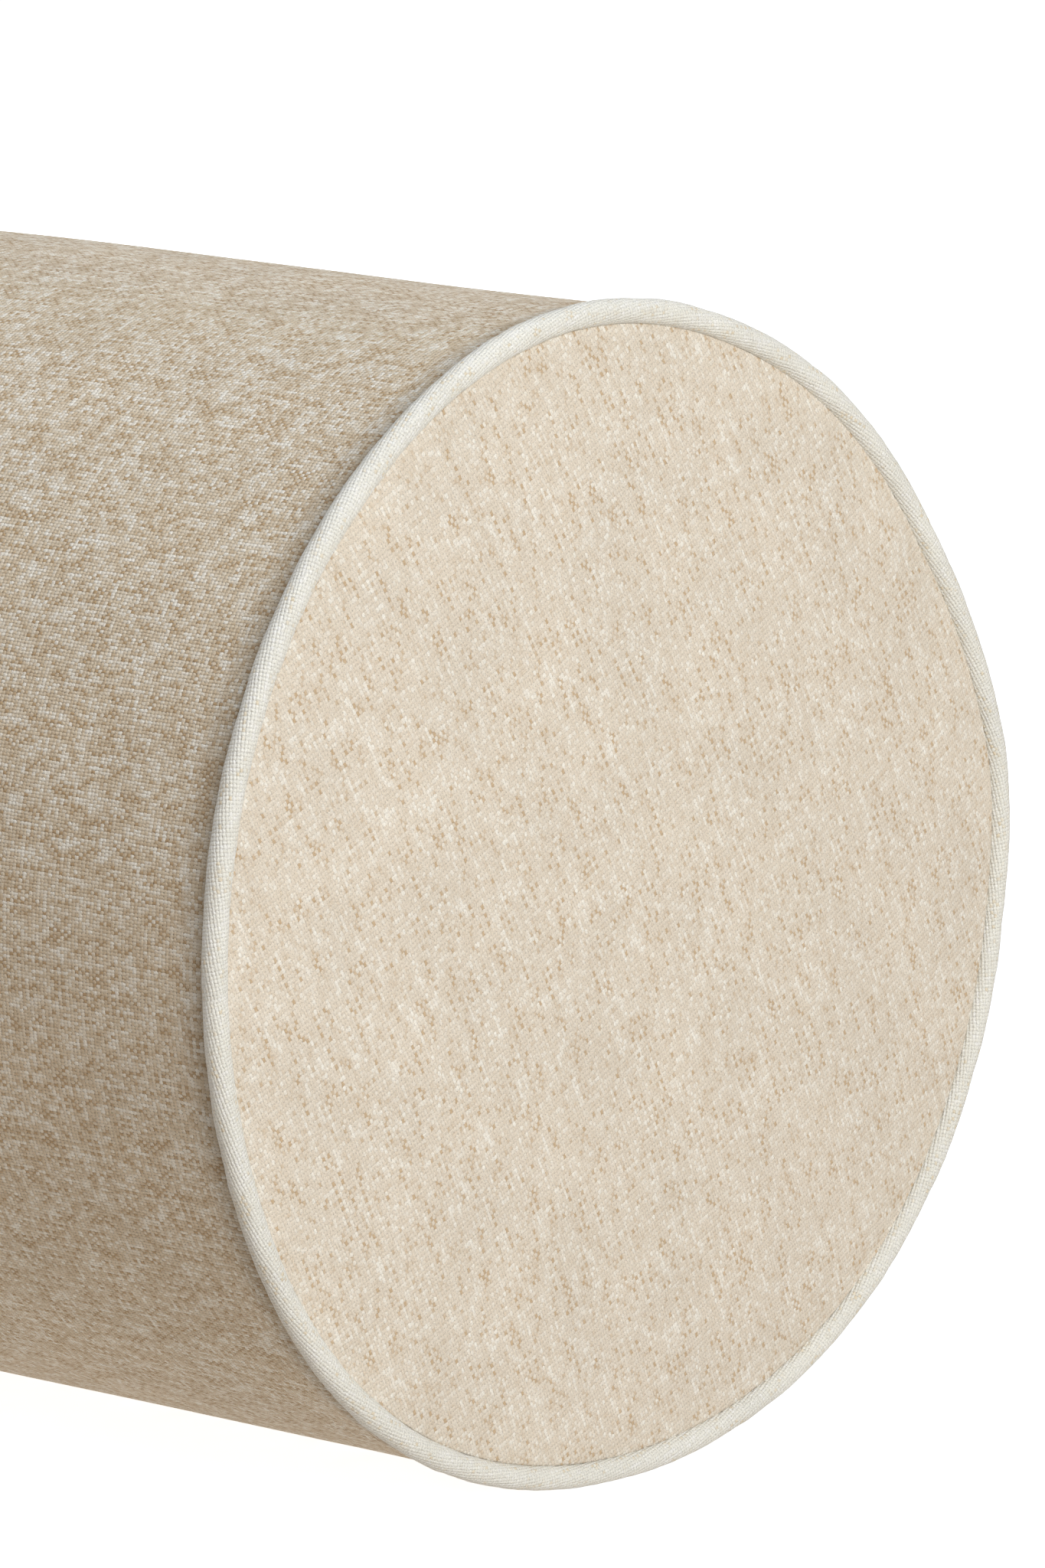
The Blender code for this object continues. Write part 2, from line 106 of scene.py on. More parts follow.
print(f"radius {RADIUS:.4f}, axis at {AXIS.z:.4f}, ring {RING:.4f}, seam {SEAM:.4f}, crown {CROWN:.4f}")
print(f"zip at {math.degrees(ZIP_ANGLE):.1f} degrees, tape at {reach('zip_tape_upper', OUT)[1]:.4f}")

# %% [markdown]
# ## Node helpers
#
# The finishes and the repeated shapes below are all made of nodes. These helpers add one node, or one sum, in a line.
# An input is fed from another node's socket or with a plain value.


# %% Node helpers
def join(tree, value, socket):
    if isinstance(value, bpy.types.NodeSocket):
        tree.links.new(value, socket)
    else:
        socket.default_value = value


def add_node(tree, kind, inputs=None, **properties):
    """A node with its properties set and its inputs fed, by their labels or numbers."""
    made = tree.nodes.new(kind)
    for name, value in properties.items():
        setattr(made, name, value)
    for label, value in (inputs or {}).items():
        join(tree, value, made.inputs[label])
    return made


def maths(tree, operation, *values):
    """One sum, of numbers or sockets."""
    return add_node(tree, "ShaderNodeMath", dict(enumerate(values)), operation=operation).outputs[0]


def vector_of(tree, x, y, z=0.0):
    return add_node(tree, "ShaderNodeCombineXYZ", {0: x, 1: y, 2: z}).outputs[0]


def noise_at(tree, where, scale, detail=2.0, seed=0.0):
    """Smooth noise, from 0 to 1. The seed shifts it to another part of the pattern."""
    shift = add_node(tree, "ShaderNodeVectorMath", {0: where, 1: (seed * 7.3, seed * 3.1, seed)}, operation="ADD")
    return add_node(tree, "ShaderNodeTexNoise", {"Vector": shift.outputs[0], "Scale": scale,
                                                 "Detail": detail}).outputs["Fac"]


def between(tree, value, low, high, to_low=0.0, to_high=1.0):
    """Maps a range to another with soft ends."""
    return add_node(tree, "ShaderNodeMapRange", dict(enumerate((value, low, high, to_low, to_high))),
                    interpolation_type="SMOOTHSTEP").outputs[0]


def blend_colours(tree, share, first, second, kind="MIX"):
    return add_node(tree, "ShaderNodeMix", {0: share, 6: first, 7: second}, data_type="RGBA",
                    blend_type=kind).outputs[2]


def shaded(tree, colour, shade):
    """A colour, made darker by a number."""
    return blend_colours(tree, 1.0, colour, vector_of(tree, shade, shade, shade), "MULTIPLY")


def own_coordinates(tree):
    return tree.nodes.new("ShaderNodeTexCoord").outputs["Object"]


# %% Material helpers
def finish_named(name, roughness, settings=None):
    """A new material, its tree and its shader's inputs."""
    made = bpy.data.materials.new(name)
    made.use_nodes = True
    sockets = made.node_tree.nodes["Principled BSDF"].inputs
    for label, value in {"Roughness": roughness, **(settings or {})}.items():
        sockets[label].default_value = value
    return made, made.node_tree, sockets


def add_bump(tree, sockets, height, depth):
    made = add_node(tree, "ShaderNodeBump", {"Strength": 1.0, "Distance": depth, "Height": height})
    tree.links.new(made.outputs[0], sockets["Normal"])


print("helpers ready")

# %% [markdown]
# ## Camera, light and floor
#
# The camera stands well back with a long lens, so the bolster's sides converge only a little. It looks at the near
# end from a little above. A large soft light on the right faces the end panel, one overhead lifts the top of the
# body, and a weak one behind keeps the zip side from going dull. A pale table would throw light back up. Here the
# floor throws none, and the studio round it is brighter below instead, which is easier to set.

# %% Camera
scene = bpy.context.scene
TURN, RISE = math.radians(42.49), math.radians(10.12)  # where the camera stands, round the bolster and above it
DISTANCE, LENS = 1.961, 231.45
ASIDE, UP = -0.0184, 0.0231  # how far it is moved across its view
END_LIFT = 1.5 * MM  # each end rides on its piping, a little higher than the middle
looked_at = Vector((SEAM - 0.24 * MM, 0, AXIS.z + END_LIFT))
towards_camera = Vector((math.sin(TURN) * math.cos(RISE), -math.cos(TURN) * math.cos(RISE), math.sin(RISE)))
camera_right = Vector((math.cos(TURN), math.sin(TURN), 0))
camera = bpy.data.objects.new("camera", bpy.data.cameras.new("camera"))
scene.collection.objects.link(camera)
camera.location = (looked_at + DISTANCE * towards_camera + ASIDE * camera_right
                   + UP * towards_camera.cross(camera_right))
camera.rotation_euler = towards_camera.to_track_quat("Z", "Y").to_euler()
camera.data.lens = LENS
camera.data.clip_start = 0.05
scene.camera = camera
print("camera at", [round(value, 3) for value in camera.location])


# %% Light
def soft_light(name, place, aim, size, power, colour):
    """A square lamp that faces a point, in metres and watts."""
    lamp = bpy.data.lights.new(name, "AREA")
    lamp.shape = "SQUARE"
    lamp.size = size
    lamp.energy = power
    lamp.color = colour
    holder = bpy.data.objects.new(name, lamp)
    scene.collection.objects.link(holder)
    holder.location = place
    holder.rotation_euler = (Vector(place) - Vector(aim)).to_track_quat("Z", "Y").to_euler()


soft_light("side_light", (2.35, -0.4, 0.9), (0.3, 0, 0.1), 1.4, 41.5, (0.97, 1.0, 1.03))
soft_light("top_light", (-0.1, -0.5, 2.0), (0.1, 0, 0.1), 1.5, 15.5, (0.88, 1.0, 1.17))
soft_light("back_light", (-1.7, 1.9, 0.45), (-0.1, 0, 0.12), 1.2, 14, (1.0, 0.95, 0.9))

# %% Studio
STRAIGHT_DOWN, DOWNWARDS, STRAIGHT_UP = (1.0, 0.92, 0.85, 1), (0.31, 0.27, 0.236, 1), (0.31, 0.273, 0.242, 1)
DIM_FROM = 0.35  # the share of the way up, from straight down, at which the studio has dimmed
world = bpy.data.worlds.new("studio")
world.use_nodes = True
sky = world.node_tree
direction = sky.nodes.new("ShaderNodeTexCoord").outputs["Generated"]
height = add_node(sky, "ShaderNodeSeparateXYZ", {0: direction}).outputs[2]
rising = add_node(sky, "ShaderNodeMapRange", {"Value": height, "From Min": -1.0})
tint = add_node(sky, "ShaderNodeValToRGB", {0: rising.outputs[0]})
tint.color_ramp.elements[0].color = STRAIGHT_DOWN
tint.color_ramp.elements[1].color = STRAIGHT_UP
tint.color_ramp.elements.new(DIM_FROM).color = DOWNWARDS
sky.links.new(tint.outputs[0], sky.nodes["Background"].inputs["Color"])
scene.world = world
scene.view_settings.view_transform = "Standard"
print("studio:", len(tint.color_ramp.elements), "tints")

# %% Floor
FLOOR_HALF = 15
corners = [(x * FLOOR_HALF, y * FLOOR_HALF, 0) for x, y in ((-1, -1), (1, -1), (1, 1), (-1, 1))]
floor_mesh = bpy.data.meshes.new("floor")
floor_mesh.from_pydata(corners, [], [(0, 1, 2, 3)])
floor = bpy.data.objects.new("floor", floor_mesh)
scene.collection.objects.link(floor)
paper, _, _ = finish_named("white_floor", 0.9, {"Base Color": (0.8, 0.9, 1.0, 1), "Emission Color": (1, 1, 1, 1),
                                                "Emission Strength": 0.75})
floor_mesh.materials.append(paper)
floor.visible_diffuse = False  # it is seen white, but throws no light up at the pillow
print("floor:", floor.name)

# %% [markdown]
# ## The weave
#
# All the cloth here is plain weave: each thread goes over one thread and under the next. Every cloth piece carries a
# UV map, "cloth", whose units are metres along its threads, so one set of nodes can draw any of them. The whole part
# of a coordinate divided by the thread spacing says which thread it is, and the rest says how far across it. Each
# thread then rises and sinks as a cosine, half a wave for each thread that it crosses, and whichever is higher
# shows. Slubs and the tan flecks are noise stretched along a thread, plus a random share for each crossing.


# %% Threads
def lay_threads(tree, place, spacing, wander):
    """Where each thread runs. Gives the place along both ways, the warp and weft threads here, how thick each is,
    the height of the cloth, and how far the warp shows."""
    times, plus, minus = (partial(maths, tree, kind) for kind in ("MULTIPLY", "ADD", "SUBTRACT"))
    x, y = add_node(tree, "ShaderNodeSeparateXYZ", {0: place}).outputs[:2]
    counts = []
    for along, gap, drift_seed, stray_seed in ((x, spacing[0], 1, 14), (y, spacing[1], 2, 15)):
        # The threads wander a little from straight, and their fibres stray, which softens their edges.
        drift = maths(tree, "MULTIPLY_ADD", noise_at(tree, place, 90, 2, drift_seed), 2 * wander, -wander)
        stray = maths(tree, "MULTIPLY_ADD", noise_at(tree, place, 1700, 2, stray_seed), 0.7 * gap, drift)
        counts.append(maths(tree, "DIVIDE", plus(along, stray), gap))
    u, v = counts
    warp, weft = maths(tree, "FLOOR", u), maths(tree, "FLOOR", v)
    # Each thread is thick and thin along its length.
    warp_slub = noise_at(tree, vector_of(tree, times(warp, 0.731), times(y, 260), 0.0), 1.0, 2, 3)
    weft_slub = noise_at(tree, vector_of(tree, times(x, 260), times(weft, 0.731), 5.0), 1.0, 2, 4)
    rides = []
    for across, own, other, slub in ((u, warp, v, warp_slub), (v, weft, u, weft_slub)):
        # How high the thread rides here, and how round it is.
        wave = maths(tree, "COSINE", times(minus(other, plus(own, 0.5)), math.pi))
        roundness = maths(tree, "COSINE", times(minus(minus(across, own), 0.5), 0.96 * math.pi))
        rides.append((times(wave, 0.5), times(roundness, plus(slub, 0.2))))
    warp_high, weft_high = plus(*rides[0]), minus(rides[1][1], rides[1][0])
    warp_shows = between(tree, minus(warp_high, weft_high), -0.16, 0.16)
    return x, y, warp, weft, warp_slub, weft_slub, maths(tree, "MAXIMUM", warp_high, weft_high), warp_shows


def chance_of_colour(tree, threads, cluster):
    """A number that picks the colour of the thread on top. It adds up the thread's own long run of colour, a shorter
    one, a share for this crossing alone, and the loose clusters that the eye sees from further off."""
    x, y, warp, weft, warp_slub, weft_slub, _, warp_shows = threads
    times = partial(maths, tree, "MULTIPLY")
    crossing = add_node(tree, "ShaderNodeTexWhiteNoise", {"Vector": vector_of(tree, warp, weft)})
    long_warp = noise_at(tree, vector_of(tree, times(warp, 3.17), times(y, 150)), 1.0, 1, 6)
    long_warp = maths(tree, "MULTIPLY_ADD", long_warp, 0.5, 0.25)
    long_weft = noise_at(tree, vector_of(tree, times(x, 110), times(weft, 0.731), 5.0), 1.0, 1, 8)
    runs, short = (add_node(tree, "ShaderNodeMix", {0: warp_shows, 2: of_weft, 3: of_warp}).outputs[0]
                   for of_weft, of_warp in ((long_weft, long_warp), (weft_slub, warp_slub)))
    clusters = noise_at(tree, vector_of(tree, times(x, cluster[0]), times(y, cluster[1])), 1.0, 2, 9)
    chance = times(runs, 0.46)
    for value, share in ((short, 0.12), (crossing.outputs["Value"], 0.16), (clusters, 0.26)):
        chance = maths(tree, "MULTIPLY_ADD", value, share, chance)
    return chance


# %% Woven cloth
def woven_cloth(name, spacing, colours, shares, depth, sheen=0.1, bias=0.0, painted_hollow_shade=0.3, wander=0.35 * MM,
                cluster=(130, 330), seam_shade=0.0):
    """A plain weave. spacing is of the threads along U and along V. colours are the ground, the flecks and the slubs,
    and shares say how much of the last two there is. bias turns the weave on the cloth."""
    ground, fleck, slub = ((*colour, 1) for colour in colours)
    made, tree, sockets = finish_named(name, 0.92, {"Sheen Weight": sheen, "Sheen Roughness": 0.55,
                                                    "Specular IOR Level": 0.2})
    uv = add_node(tree, "ShaderNodeUVMap", uv_map="cloth").outputs[0]
    place = add_node(tree, "ShaderNodeVectorRotate", {"Angle": bias, "Vector": uv}, rotation_type="Z_AXIS").outputs[0]
    threads = lay_threads(tree, place, spacing, wander)
    height, warp_shows = threads[-2:]
    chance = chance_of_colour(tree, threads, cluster)
    mostly_weft = maths(tree, "MULTIPLY_ADD", warp_shows, -0.75, 1.0)
    flecked = maths(tree, "MULTIPLY", between(tree, chance, 0.48 + shares[0], 0.37 + shares[0]), mostly_weft)
    pale = between(tree, chance, 0.50 - shares[1], 0.66 - shares[1])
    colour = blend_colours(tree, pale, blend_colours(tree, flecked, ground, fleck), slub)
    # Cloth is never one even tone: it drifts over a few centimetres, and each fibre is a little off.
    tone = maths(tree, "ADD", maths(tree, "MULTIPLY_ADD", noise_at(tree, place, 45, 3, 11), 0.16, 0.92),
                 maths(tree, "MULTIPLY_ADD", noise_at(tree, place, 3400, 2, 12), 0.8, -0.4))
    # Where the threads sink between and under each other, the colour is drawn darker: painted shade in the hollows of
    # the weave.
    shade = maths(tree, "MULTIPLY", tone, between(tree, height, 0.02, 0.5, 1.0 - painted_hollow_shade, 1.0))
    # Where the cloth is pulled in tight at the piping it lies in shade, so it is drawn darker there.
    along = add_node(tree, "ShaderNodeSeparateXYZ", {0: own_coordinates(tree)}).outputs[0]
    near_seam = between(tree, maths(tree, "ABSOLUTE", along), SEAM - 10 * MM, SEAM - 1 * MM, 1.0, 1.0 - seam_shade)
    tree.links.new(shaded(tree, colour, maths(tree, "MULTIPLY", shade, near_seam)), sockets["Base Color"])
    rough = maths(tree, "MULTIPLY_ADD", noise_at(tree, place, 2600, 2, 13), 0.3, height)
    add_bump(tree, sockets, rough, depth)
    return made


# %% Cloths of the cover
COVER_THREADS = (0.957 * MM, 0.688 * MM)
# The body and the end panels are one cloth. The body's copy has darker hollows and a more tan ground than the ends'
# copy: painted shade, as the light rakes across the body while the ends face the lamp.
body_cloth_in_painted_shade = woven_cloth("slub_weave", COVER_THREADS,
                          ((0.712, 0.598, 0.436), (0.50, 0.35, 0.195), (0.90, 0.855, 0.75)), (0.03, 0.02), 0.2 * MM,
                          painted_hollow_shade=0.82, cluster=(210, 260), seam_shade=0.35)
panel_cloth = woven_cloth("slub_weave_of_the_ends", COVER_THREADS,
                          ((0.715, 0.635, 0.52), (0.55, 0.41, 0.26), (0.84, 0.80, 0.71)), (0.0, 0.0), 0.16 * MM,
                          painted_hollow_shade=0.38)
piping_cloth = woven_cloth("ivory_cloth", (0.74 * MM, 0.70 * MM),
                           ((0.81, 0.795, 0.715), (0.74, 0.655, 0.50), (0.86, 0.85, 0.80)), (-0.02, 0.0), 0.22 * MM,
                           bias=math.radians(12), painted_hollow_shade=0.34)
print("cloths:", body_cloth_in_painted_shade.name, panel_cloth.name, piping_cloth.name)

# %% [markdown]
# ## How the bolster lies
#
# A stuffed pillow is never truly round. Each end is a little egg-shaped in its own way, which fades towards the
# middle, and the underside spreads where the weight rests on it. Every soft piece takes its shape from the same two
# functions, so neighbours stay in touch: one gives the unevenness at a place and angle, and one sets a point down
# on the floor.

# %% Unevenness and rest
# The waves round each end: how many, their height in millimetres as cosine and as sine
NEAR_WAVES = ((1, 0.0, 1.5), (2, -0.5, -1.6), (3, 0.9, -1.0), (5, 0.0, 0.35))
FAR_WAVES = ((1, 0.0, 1.5), (2, 0.6, 0.5), (3, -0.4, 0.5), (4, 0.3, -0.2))
# Softer spots of the filling at the near end: where, how high in millimetres and how wide, in degrees
NEAR_SPOTS = ((6, 1.4, 9), (32, -0.9, 10), (57, 0.75, 13), (100, 0.5, 20))
BARREL = 1.0  # how much fuller the bolster is in its middle, in millimetres
FLOOR_SOFTNESS = 0.7 * MM


def smooth(value, low, high):
    share = min(1.0, max(0.0, (value - low) / (high - low)))
    return share * share * (3 - 2 * share)


def unevenness(x, angle):
    """How far the bolster stands out of round here."""
    waves = NEAR_WAVES if x > 0 else FAR_WAVES
    total = sum(cosine * math.cos(count * angle) + sine * math.sin(count * angle) for count, cosine, sine in waves)
    if x > 0:
        for where, height, width in NEAR_SPOTS:
            away = (math.degrees(angle) - where + 180) % 360 - 180
            total += height * math.exp(-((away / width) ** 2)) * smooth(x, 0.26, 0.315)
    # The zip lies straight, so the cover beside it does too.
    apart = abs((angle - ZIP_ANGLE + math.pi) % (2 * math.pi) - math.pi)
    beside_zip = 1 - (1 - smooth(apart, 0.06, 0.3)) * (1 - smooth(abs(x), 0.290, 0.318))
    total *= beside_zip
    return MM * (total * smooth(abs(x), 0.0, 0.19) + BARREL * (1 - smooth(abs(x), 0.12, 0.32)) * beside_zip)


def around(x, angle, radius, share=1.0):
    """The point at a place, an angle and a distance from the axis, on the uneven bolster at rest."""
    far = radius + share * unevenness(x, angle)
    point = AXIS + Vector((x, far * math.cos(angle), far * math.sin(angle)))
    if point.z < FLOOR_SOFTNESS:
        point.z = FLOOR_SOFTNESS * math.exp((point.z - FLOOR_SOFTNESS) / FLOOR_SOFTNESS)
    return point


print("lowest near piping:", round(around(SEAM, -math.pi / 2, RING + PIPING).z / MM, 2), "mm")

# %% [markdown]
# ## Meshes from grids
#
# Cloth pieces are grids of quads, which subdivide and simulate well. `grid_piece` makes one from rows of points, and
# `lay_cloth` gives it the "cloth" UV map. A face that crosses the line where the angle starts again is unwrapped
# from its own first corner, so the weave doesn't smear there.


# %% Grid helpers
def new_piece(name, mesh, finish):
    mesh.materials.clear()
    mesh.materials.append(finish)
    made = bpy.data.objects.new(name, mesh)
    scene.collection.objects.link(made)
    mesh.shade_smooth()
    return made


def grid_piece(name, rows, finish, wrap_columns=False):
    """A grid of quads through rows of points."""
    count = len(rows[0])
    column_steps = count if wrap_columns else count - 1
    faces = []
    for i in range(len(rows) - 1):
        low, high = i * count, (i + 1) * count
        faces += [(low + k, low + (k + 1) % count, high + (k + 1) % count, high + k) for k in range(column_steps)]
    return mesh_piece(name, [point for row in rows for point in row], faces, finish)


def square_faces(count):
    """The quads of a square grid."""
    return [(i * count + k, i * count + k + 1, (i + 1) * count + k + 1, (i + 1) * count + k)
            for i in range(count - 1) for k in range(count - 1)]


def mesh_piece(name, points, faces, finish):
    mesh = bpy.data.meshes.new(name)
    mesh.from_pydata(points, [], faces)
    return new_piece(name, mesh, finish)


def face_along(mesh, direction, face=0):
    """Turns a piece's faces over if the given one looks against a direction."""
    if mesh.polygons[face].normal.dot(direction) < 0:
        mesh.flip_normals()


def point_outwards(mesh):
    shape = bmesh.new()
    shape.from_mesh(mesh)
    bmesh.ops.recalc_face_normals(shape, faces=shape.faces)
    shape.to_mesh(mesh)
    shape.free()


def lay_cloth(piece, place_on_cloth, period):
    """Writes the cloth UV map. place_on_cloth gives (u, v) in metres; period is how long each is once round."""
    mesh = piece.data
    layer = mesh.uv_layers.get("cloth") or mesh.uv_layers.new(name="cloth")
    found = [place_on_cloth(vertex.co) for vertex in mesh.vertices]
    for face in mesh.polygons:
        first = found[mesh.loops[face.loop_start].vertex_index]
        for loop in face.loop_indices:
            here = list(found[mesh.loops[loop].vertex_index])
            for axis in (0, 1):
                if period[axis]:
                    here[axis] -= period[axis] * round((here[axis] - first[axis]) / period[axis])
            layer.data[loop].uv = here


def apply_modifiers(piece):
    """Turns a piece with its modifiers into a plain mesh."""
    bpy.context.view_layer.update()
    graph = bpy.context.evaluated_depsgraph_get()
    mesh = bpy.data.meshes.new_from_object(piece.evaluated_get(graph))
    mesh.name = piece.name
    piece.modifiers.clear()
    piece.data = mesh
    return piece


def subdivide(piece, thickness=0.0):
    """One level of subdivision, and a wall of cloth on the inner side if a thickness is given."""
    step = piece.modifiers.new("Smooth", "SUBSURF")
    step.levels = step.render_levels = 1
    step.boundary_smooth = "PRESERVE_CORNERS"
    if thickness:
        wall = piece.modifiers.new("Wall", "SOLIDIFY")
        wall.thickness = thickness
        wall.offset = -1
    return apply_modifiers(piece)


def inflate(piece, held, pressure, limit):
    """Blows a cloth piece up from inside with Blender's cloth, with some vertices held still. No point moves
    further than the limit."""
    before = np.array([vertex.co for vertex in piece.data.vertices])
    group = piece.vertex_groups.new(name="held")
    group.add([int(index) for index in held], 1.0, "REPLACE")
    cloth = piece.modifiers.new("Stuffing", "CLOTH")
    cloth.settings.quality = 6
    cloth.settings.mass = 0.25
    cloth.settings.tension_stiffness = cloth.settings.compression_stiffness = 25
    cloth.settings.bending_stiffness = 1.0
    cloth.settings.use_pressure = True
    cloth.settings.uniform_pressure_force = pressure
    cloth.settings.vertex_group_mass = "held"
    cloth.settings.effector_weights.gravity = 0
    cloth.collision_settings.use_collision = False
    for number in range(1, 21):
        scene.frame_set(number)
    graph = bpy.context.evaluated_depsgraph_get()
    after = np.array([vertex.co for vertex in piece.evaluated_get(graph).data.vertices])
    piece.modifiers.remove(cloth)
    piece.vertex_groups.clear()
    move = after - before
    length = np.linalg.norm(move, axis=1, keepdims=True)
    capped = before + move * np.minimum(1, limit / np.maximum(length, 1e-9))
    piece.data.vertices.foreach_set("co", capped.ravel())
    piece.data.update()
    scene.frame_set(1)
    print(f"{piece.name}: swelled by {length.mean() / MM:.2f} mm, at most {length.max() / MM:.2f} mm")


print("grid helpers ready")

# %% [markdown]
# ## The cover's body
#
# The body is one rectangle of cloth, wrapped round from one edge of the zip to the other. On the real pillow its
# length runs along the bolster, its ends roll down behind the piping into the seam, and its edges fold under beside
# the zip. Here it is a grid of quads, laid a little inside its final place and blown up from inside with Blender's
# cloth, so it is taut but not machine-smooth. The rolled ends and the folded edges are added to the result.

# %% The body's grid
SLIT_HALF = 4.3 * MM
SLIT_END = 0.284  # the slit runs this far each way
LIP = 0.1 * MM  # the folded edges press on each other by this much where they are sewn together
SLACK = 0.5 * MM  # how far inside its place the cloth starts
EDGE_STEPS = (0.6, 1.8, 3.6, 6.5, 10.5)  # where the threads beside each edge of the slit lie, in millimetres from it
FIELD_THREADS, MIDDLE_ROWS = 84, 74  # how many lines the grid has between those, and between the slit's ends
FIXED_ROWS, FIXED_THREADS = 5, 4  # how many lines are held still at each end and at each edge
BODY_SWELL, PANEL_SWELL = 1.2 * MM, 0.9 * MM  # no point may swell further than this
STRAIGHT = SEAM - 3.4 * MM
ROLL = 2.45 * MM  # the cover rolls round the piping at this distance from its middle


def lay_out(count, low, high):
    return [low + (high - low) * i / (count - 1) for i in range(count)]


def slit_half(x):
    """Half the width of the slit: open over the zip, and sewn shut beyond it, lip to lip."""
    return (SLIT_HALF + LIP) * (1 - smooth(abs(x), SLIT_END - 1 * MM, SLIT_END + 3 * MM)) - LIP


def body_angles(x):
    """The angles of the body's lengthwise threads, closer together beside the zip."""
    edge = math.asin(slit_half(x) / RADIUS)
    near_edge = [edge + step * MM / RADIUS for step in EDGE_STEPS]
    first, last = near_edge[-1] + 0.05, 2 * math.pi - near_edge[-1] - 0.05
    return near_edge + lay_out(FIELD_THREADS, first, last) + [2 * math.pi - angle for angle in reversed(near_edge)]


near_end = [STRAIGHT - step * MM for step in (8, 5, 3, 1.6, 0.6, 0)]  # close together, to keep the roll crisp
slit_close = [SLIT_END + step * MM for step in (-3, -1, 0.5, 2, 3.5, 5.5, 9, 15, 21.5)]
tail = slit_close + near_end
body_places = [-x for x in reversed(tail)] + lay_out(MIDDLE_ROWS, -SLIT_END + 8 * MM, SLIT_END - 8 * MM)
body_places += tail
field = range(len(EDGE_STEPS), len(EDGE_STEPS) + FIELD_THREADS)
rows = [[around(x, ZIP_ANGLE + angle, RADIUS - SLACK * (k in field and abs(x) < STRAIGHT - 4 * MM))
         for k, angle in enumerate(body_angles(x))] for x in body_places]
body_rows, body_columns = len(rows), len(rows[0])
body_draft = grid_piece("cover_draft", rows, body_cloth_in_painted_shade)
point_outwards(body_draft.data)
held = [i * body_columns + k for i in range(body_rows) for k in range(body_columns)
        if min(i, body_rows - 1 - i) < FIXED_ROWS or min(k, body_columns - 1 - k) < FIXED_THREADS]
print("body grid:", body_rows, "by", body_columns)

# %% Blow the body up
inflate(body_draft, held, 4.0, BODY_SWELL)
flat_rows = [[body_draft.data.vertices[i * body_columns + k].co.copy() for k in range(body_columns)]
             for i in range(body_rows)]
bpy.data.objects.remove(body_draft)


def from_axis(point):
    """A point as its place along the bolster, its angle and its distance from the axis."""
    flat = point - AXIS
    return point.x, math.atan2(flat.z, flat.y), math.hypot(flat.y, flat.z)


# %% Ends and edges of the body
def rolled_end(side):
    """From the straight body, round behind the piping and into the seam: places along, and distances from the axis."""
    turns = [math.radians(angle) for angle in (151, 168, 186, 203)]
    line = [(SEAM - 2.9 * MM, RADIUS - 0.10 * MM)]
    line += [(SEAM + ROLL * math.cos(turn), RING + ROLL * math.sin(turn)) for turn in turns]
    tip = line[-1]
    line += [(tip[0] - step * MM, tip[1] - step * MM) for step in (1.2, 3.0, 5.0)]
    return [(side * x, radius) for x, radius in line]


def with_hems(row, x):
    """Adds the folded edges to a row. Each edge turns under with a round fold and lies flat below."""
    def fold(first, way):
        place, angle, radius = from_axis(first)
        path = [(-0.35, -0.12), (-0.6, -0.5), (-0.6, -1.3), (-0.35, -1.9), (0.3, -2.35), (2.2, -2.45), (5.2, -2.45),
                (8.4, -2.45)]
        return [AXIS + Vector((place, (radius + depth * MM) * math.cos(angle + way * along * MM / radius),
                               (radius + depth * MM) * math.sin(angle + way * along * MM / radius)))
                for along, depth in path]
    return fold(row[0], 1)[::-1] + row + fold(row[-1], -1)


body_grid = []
for side in (-1, 1):
    ends = [[around(x, ZIP_ANGLE + angle, radius) for angle in body_angles(x)] for x, radius in rolled_end(side)]
    if side < 0:
        body_grid = ends[::-1] + flat_rows
    else:
        body_grid += ends
body_grid = [with_hems(row, row[0].x) for row in body_grid]
cover = grid_piece("cover", body_grid, body_cloth_in_painted_shade)
point_outwards(cover.data)
cover = subdivide(cover, 0.9 * MM)
print("cover:", len(cover.data.polygons), "faces")


# %% Cloth map of the body
def unrolled(point):
    """Where a point of the body lies on its flat cloth: along the bolster, and round it from the zip."""
    place, angle, _ = from_axis(point)
    return place, ((angle - ZIP_ANGLE) % (2 * math.pi)) * RADIUS


def pucker_body(piece):
    """Draws the cloth into little waves where it is stitched to the piping, and adds a faint unevenness all over."""
    for vertex in piece.data.vertices:
        place, angle, radius = from_axis(vertex.co)
        if radius < RADIUS - 4 * MM:
            continue
        near_seam = smooth(abs(place), SEAM - 26 * MM, SEAM - 3 * MM)
        side = 5 if place > 0 else 11
        wave = noise.noise(Vector((math.cos(angle) * 16, math.sin(angle) * 16, side)))
        wave += 0.5 * noise.noise(Vector((math.cos(angle) * 34, math.sin(angle) * 34, side + 3)))
        broad = noise.noise(Vector((place * 14, math.cos(angle) * 2.6, math.sin(angle) * 2.6)))
        move = 0.55 * MM * wave * near_seam * (1 - smooth(abs(place), SEAM - 3 * MM, SEAM)) + 0.25 * MM * broad
        apart = abs((angle - ZIP_ANGLE + math.pi) % (2 * math.pi) - math.pi)
        move *= smooth(apart, 0.04, 0.12)
        vertex.co += move * (vertex.co - AXIS - Vector((place, 0, 0))).normalized()
        if vertex.co.z < 0.05 * MM:
            vertex.co.z = 0.05 * MM


pucker_body(cover)
lay_cloth(cover, unrolled, (None, 2 * math.pi * RADIUS))
cover.data.update()
print("cover box:", [[round(value, 4) for value in cover.bound_box[corner]] for corner in (0, 6)])

# %% [markdown]
# ## The end panels
#
# Each end is a disc of the same cloth, sewn in behind the piping and pushed out a little by the filling. A square
# grid squeezed into a disc has no pole in the middle, so it swells and takes the weave cleanly. The rim turns in
# beside the piping, and its allowance points back into the pillow.

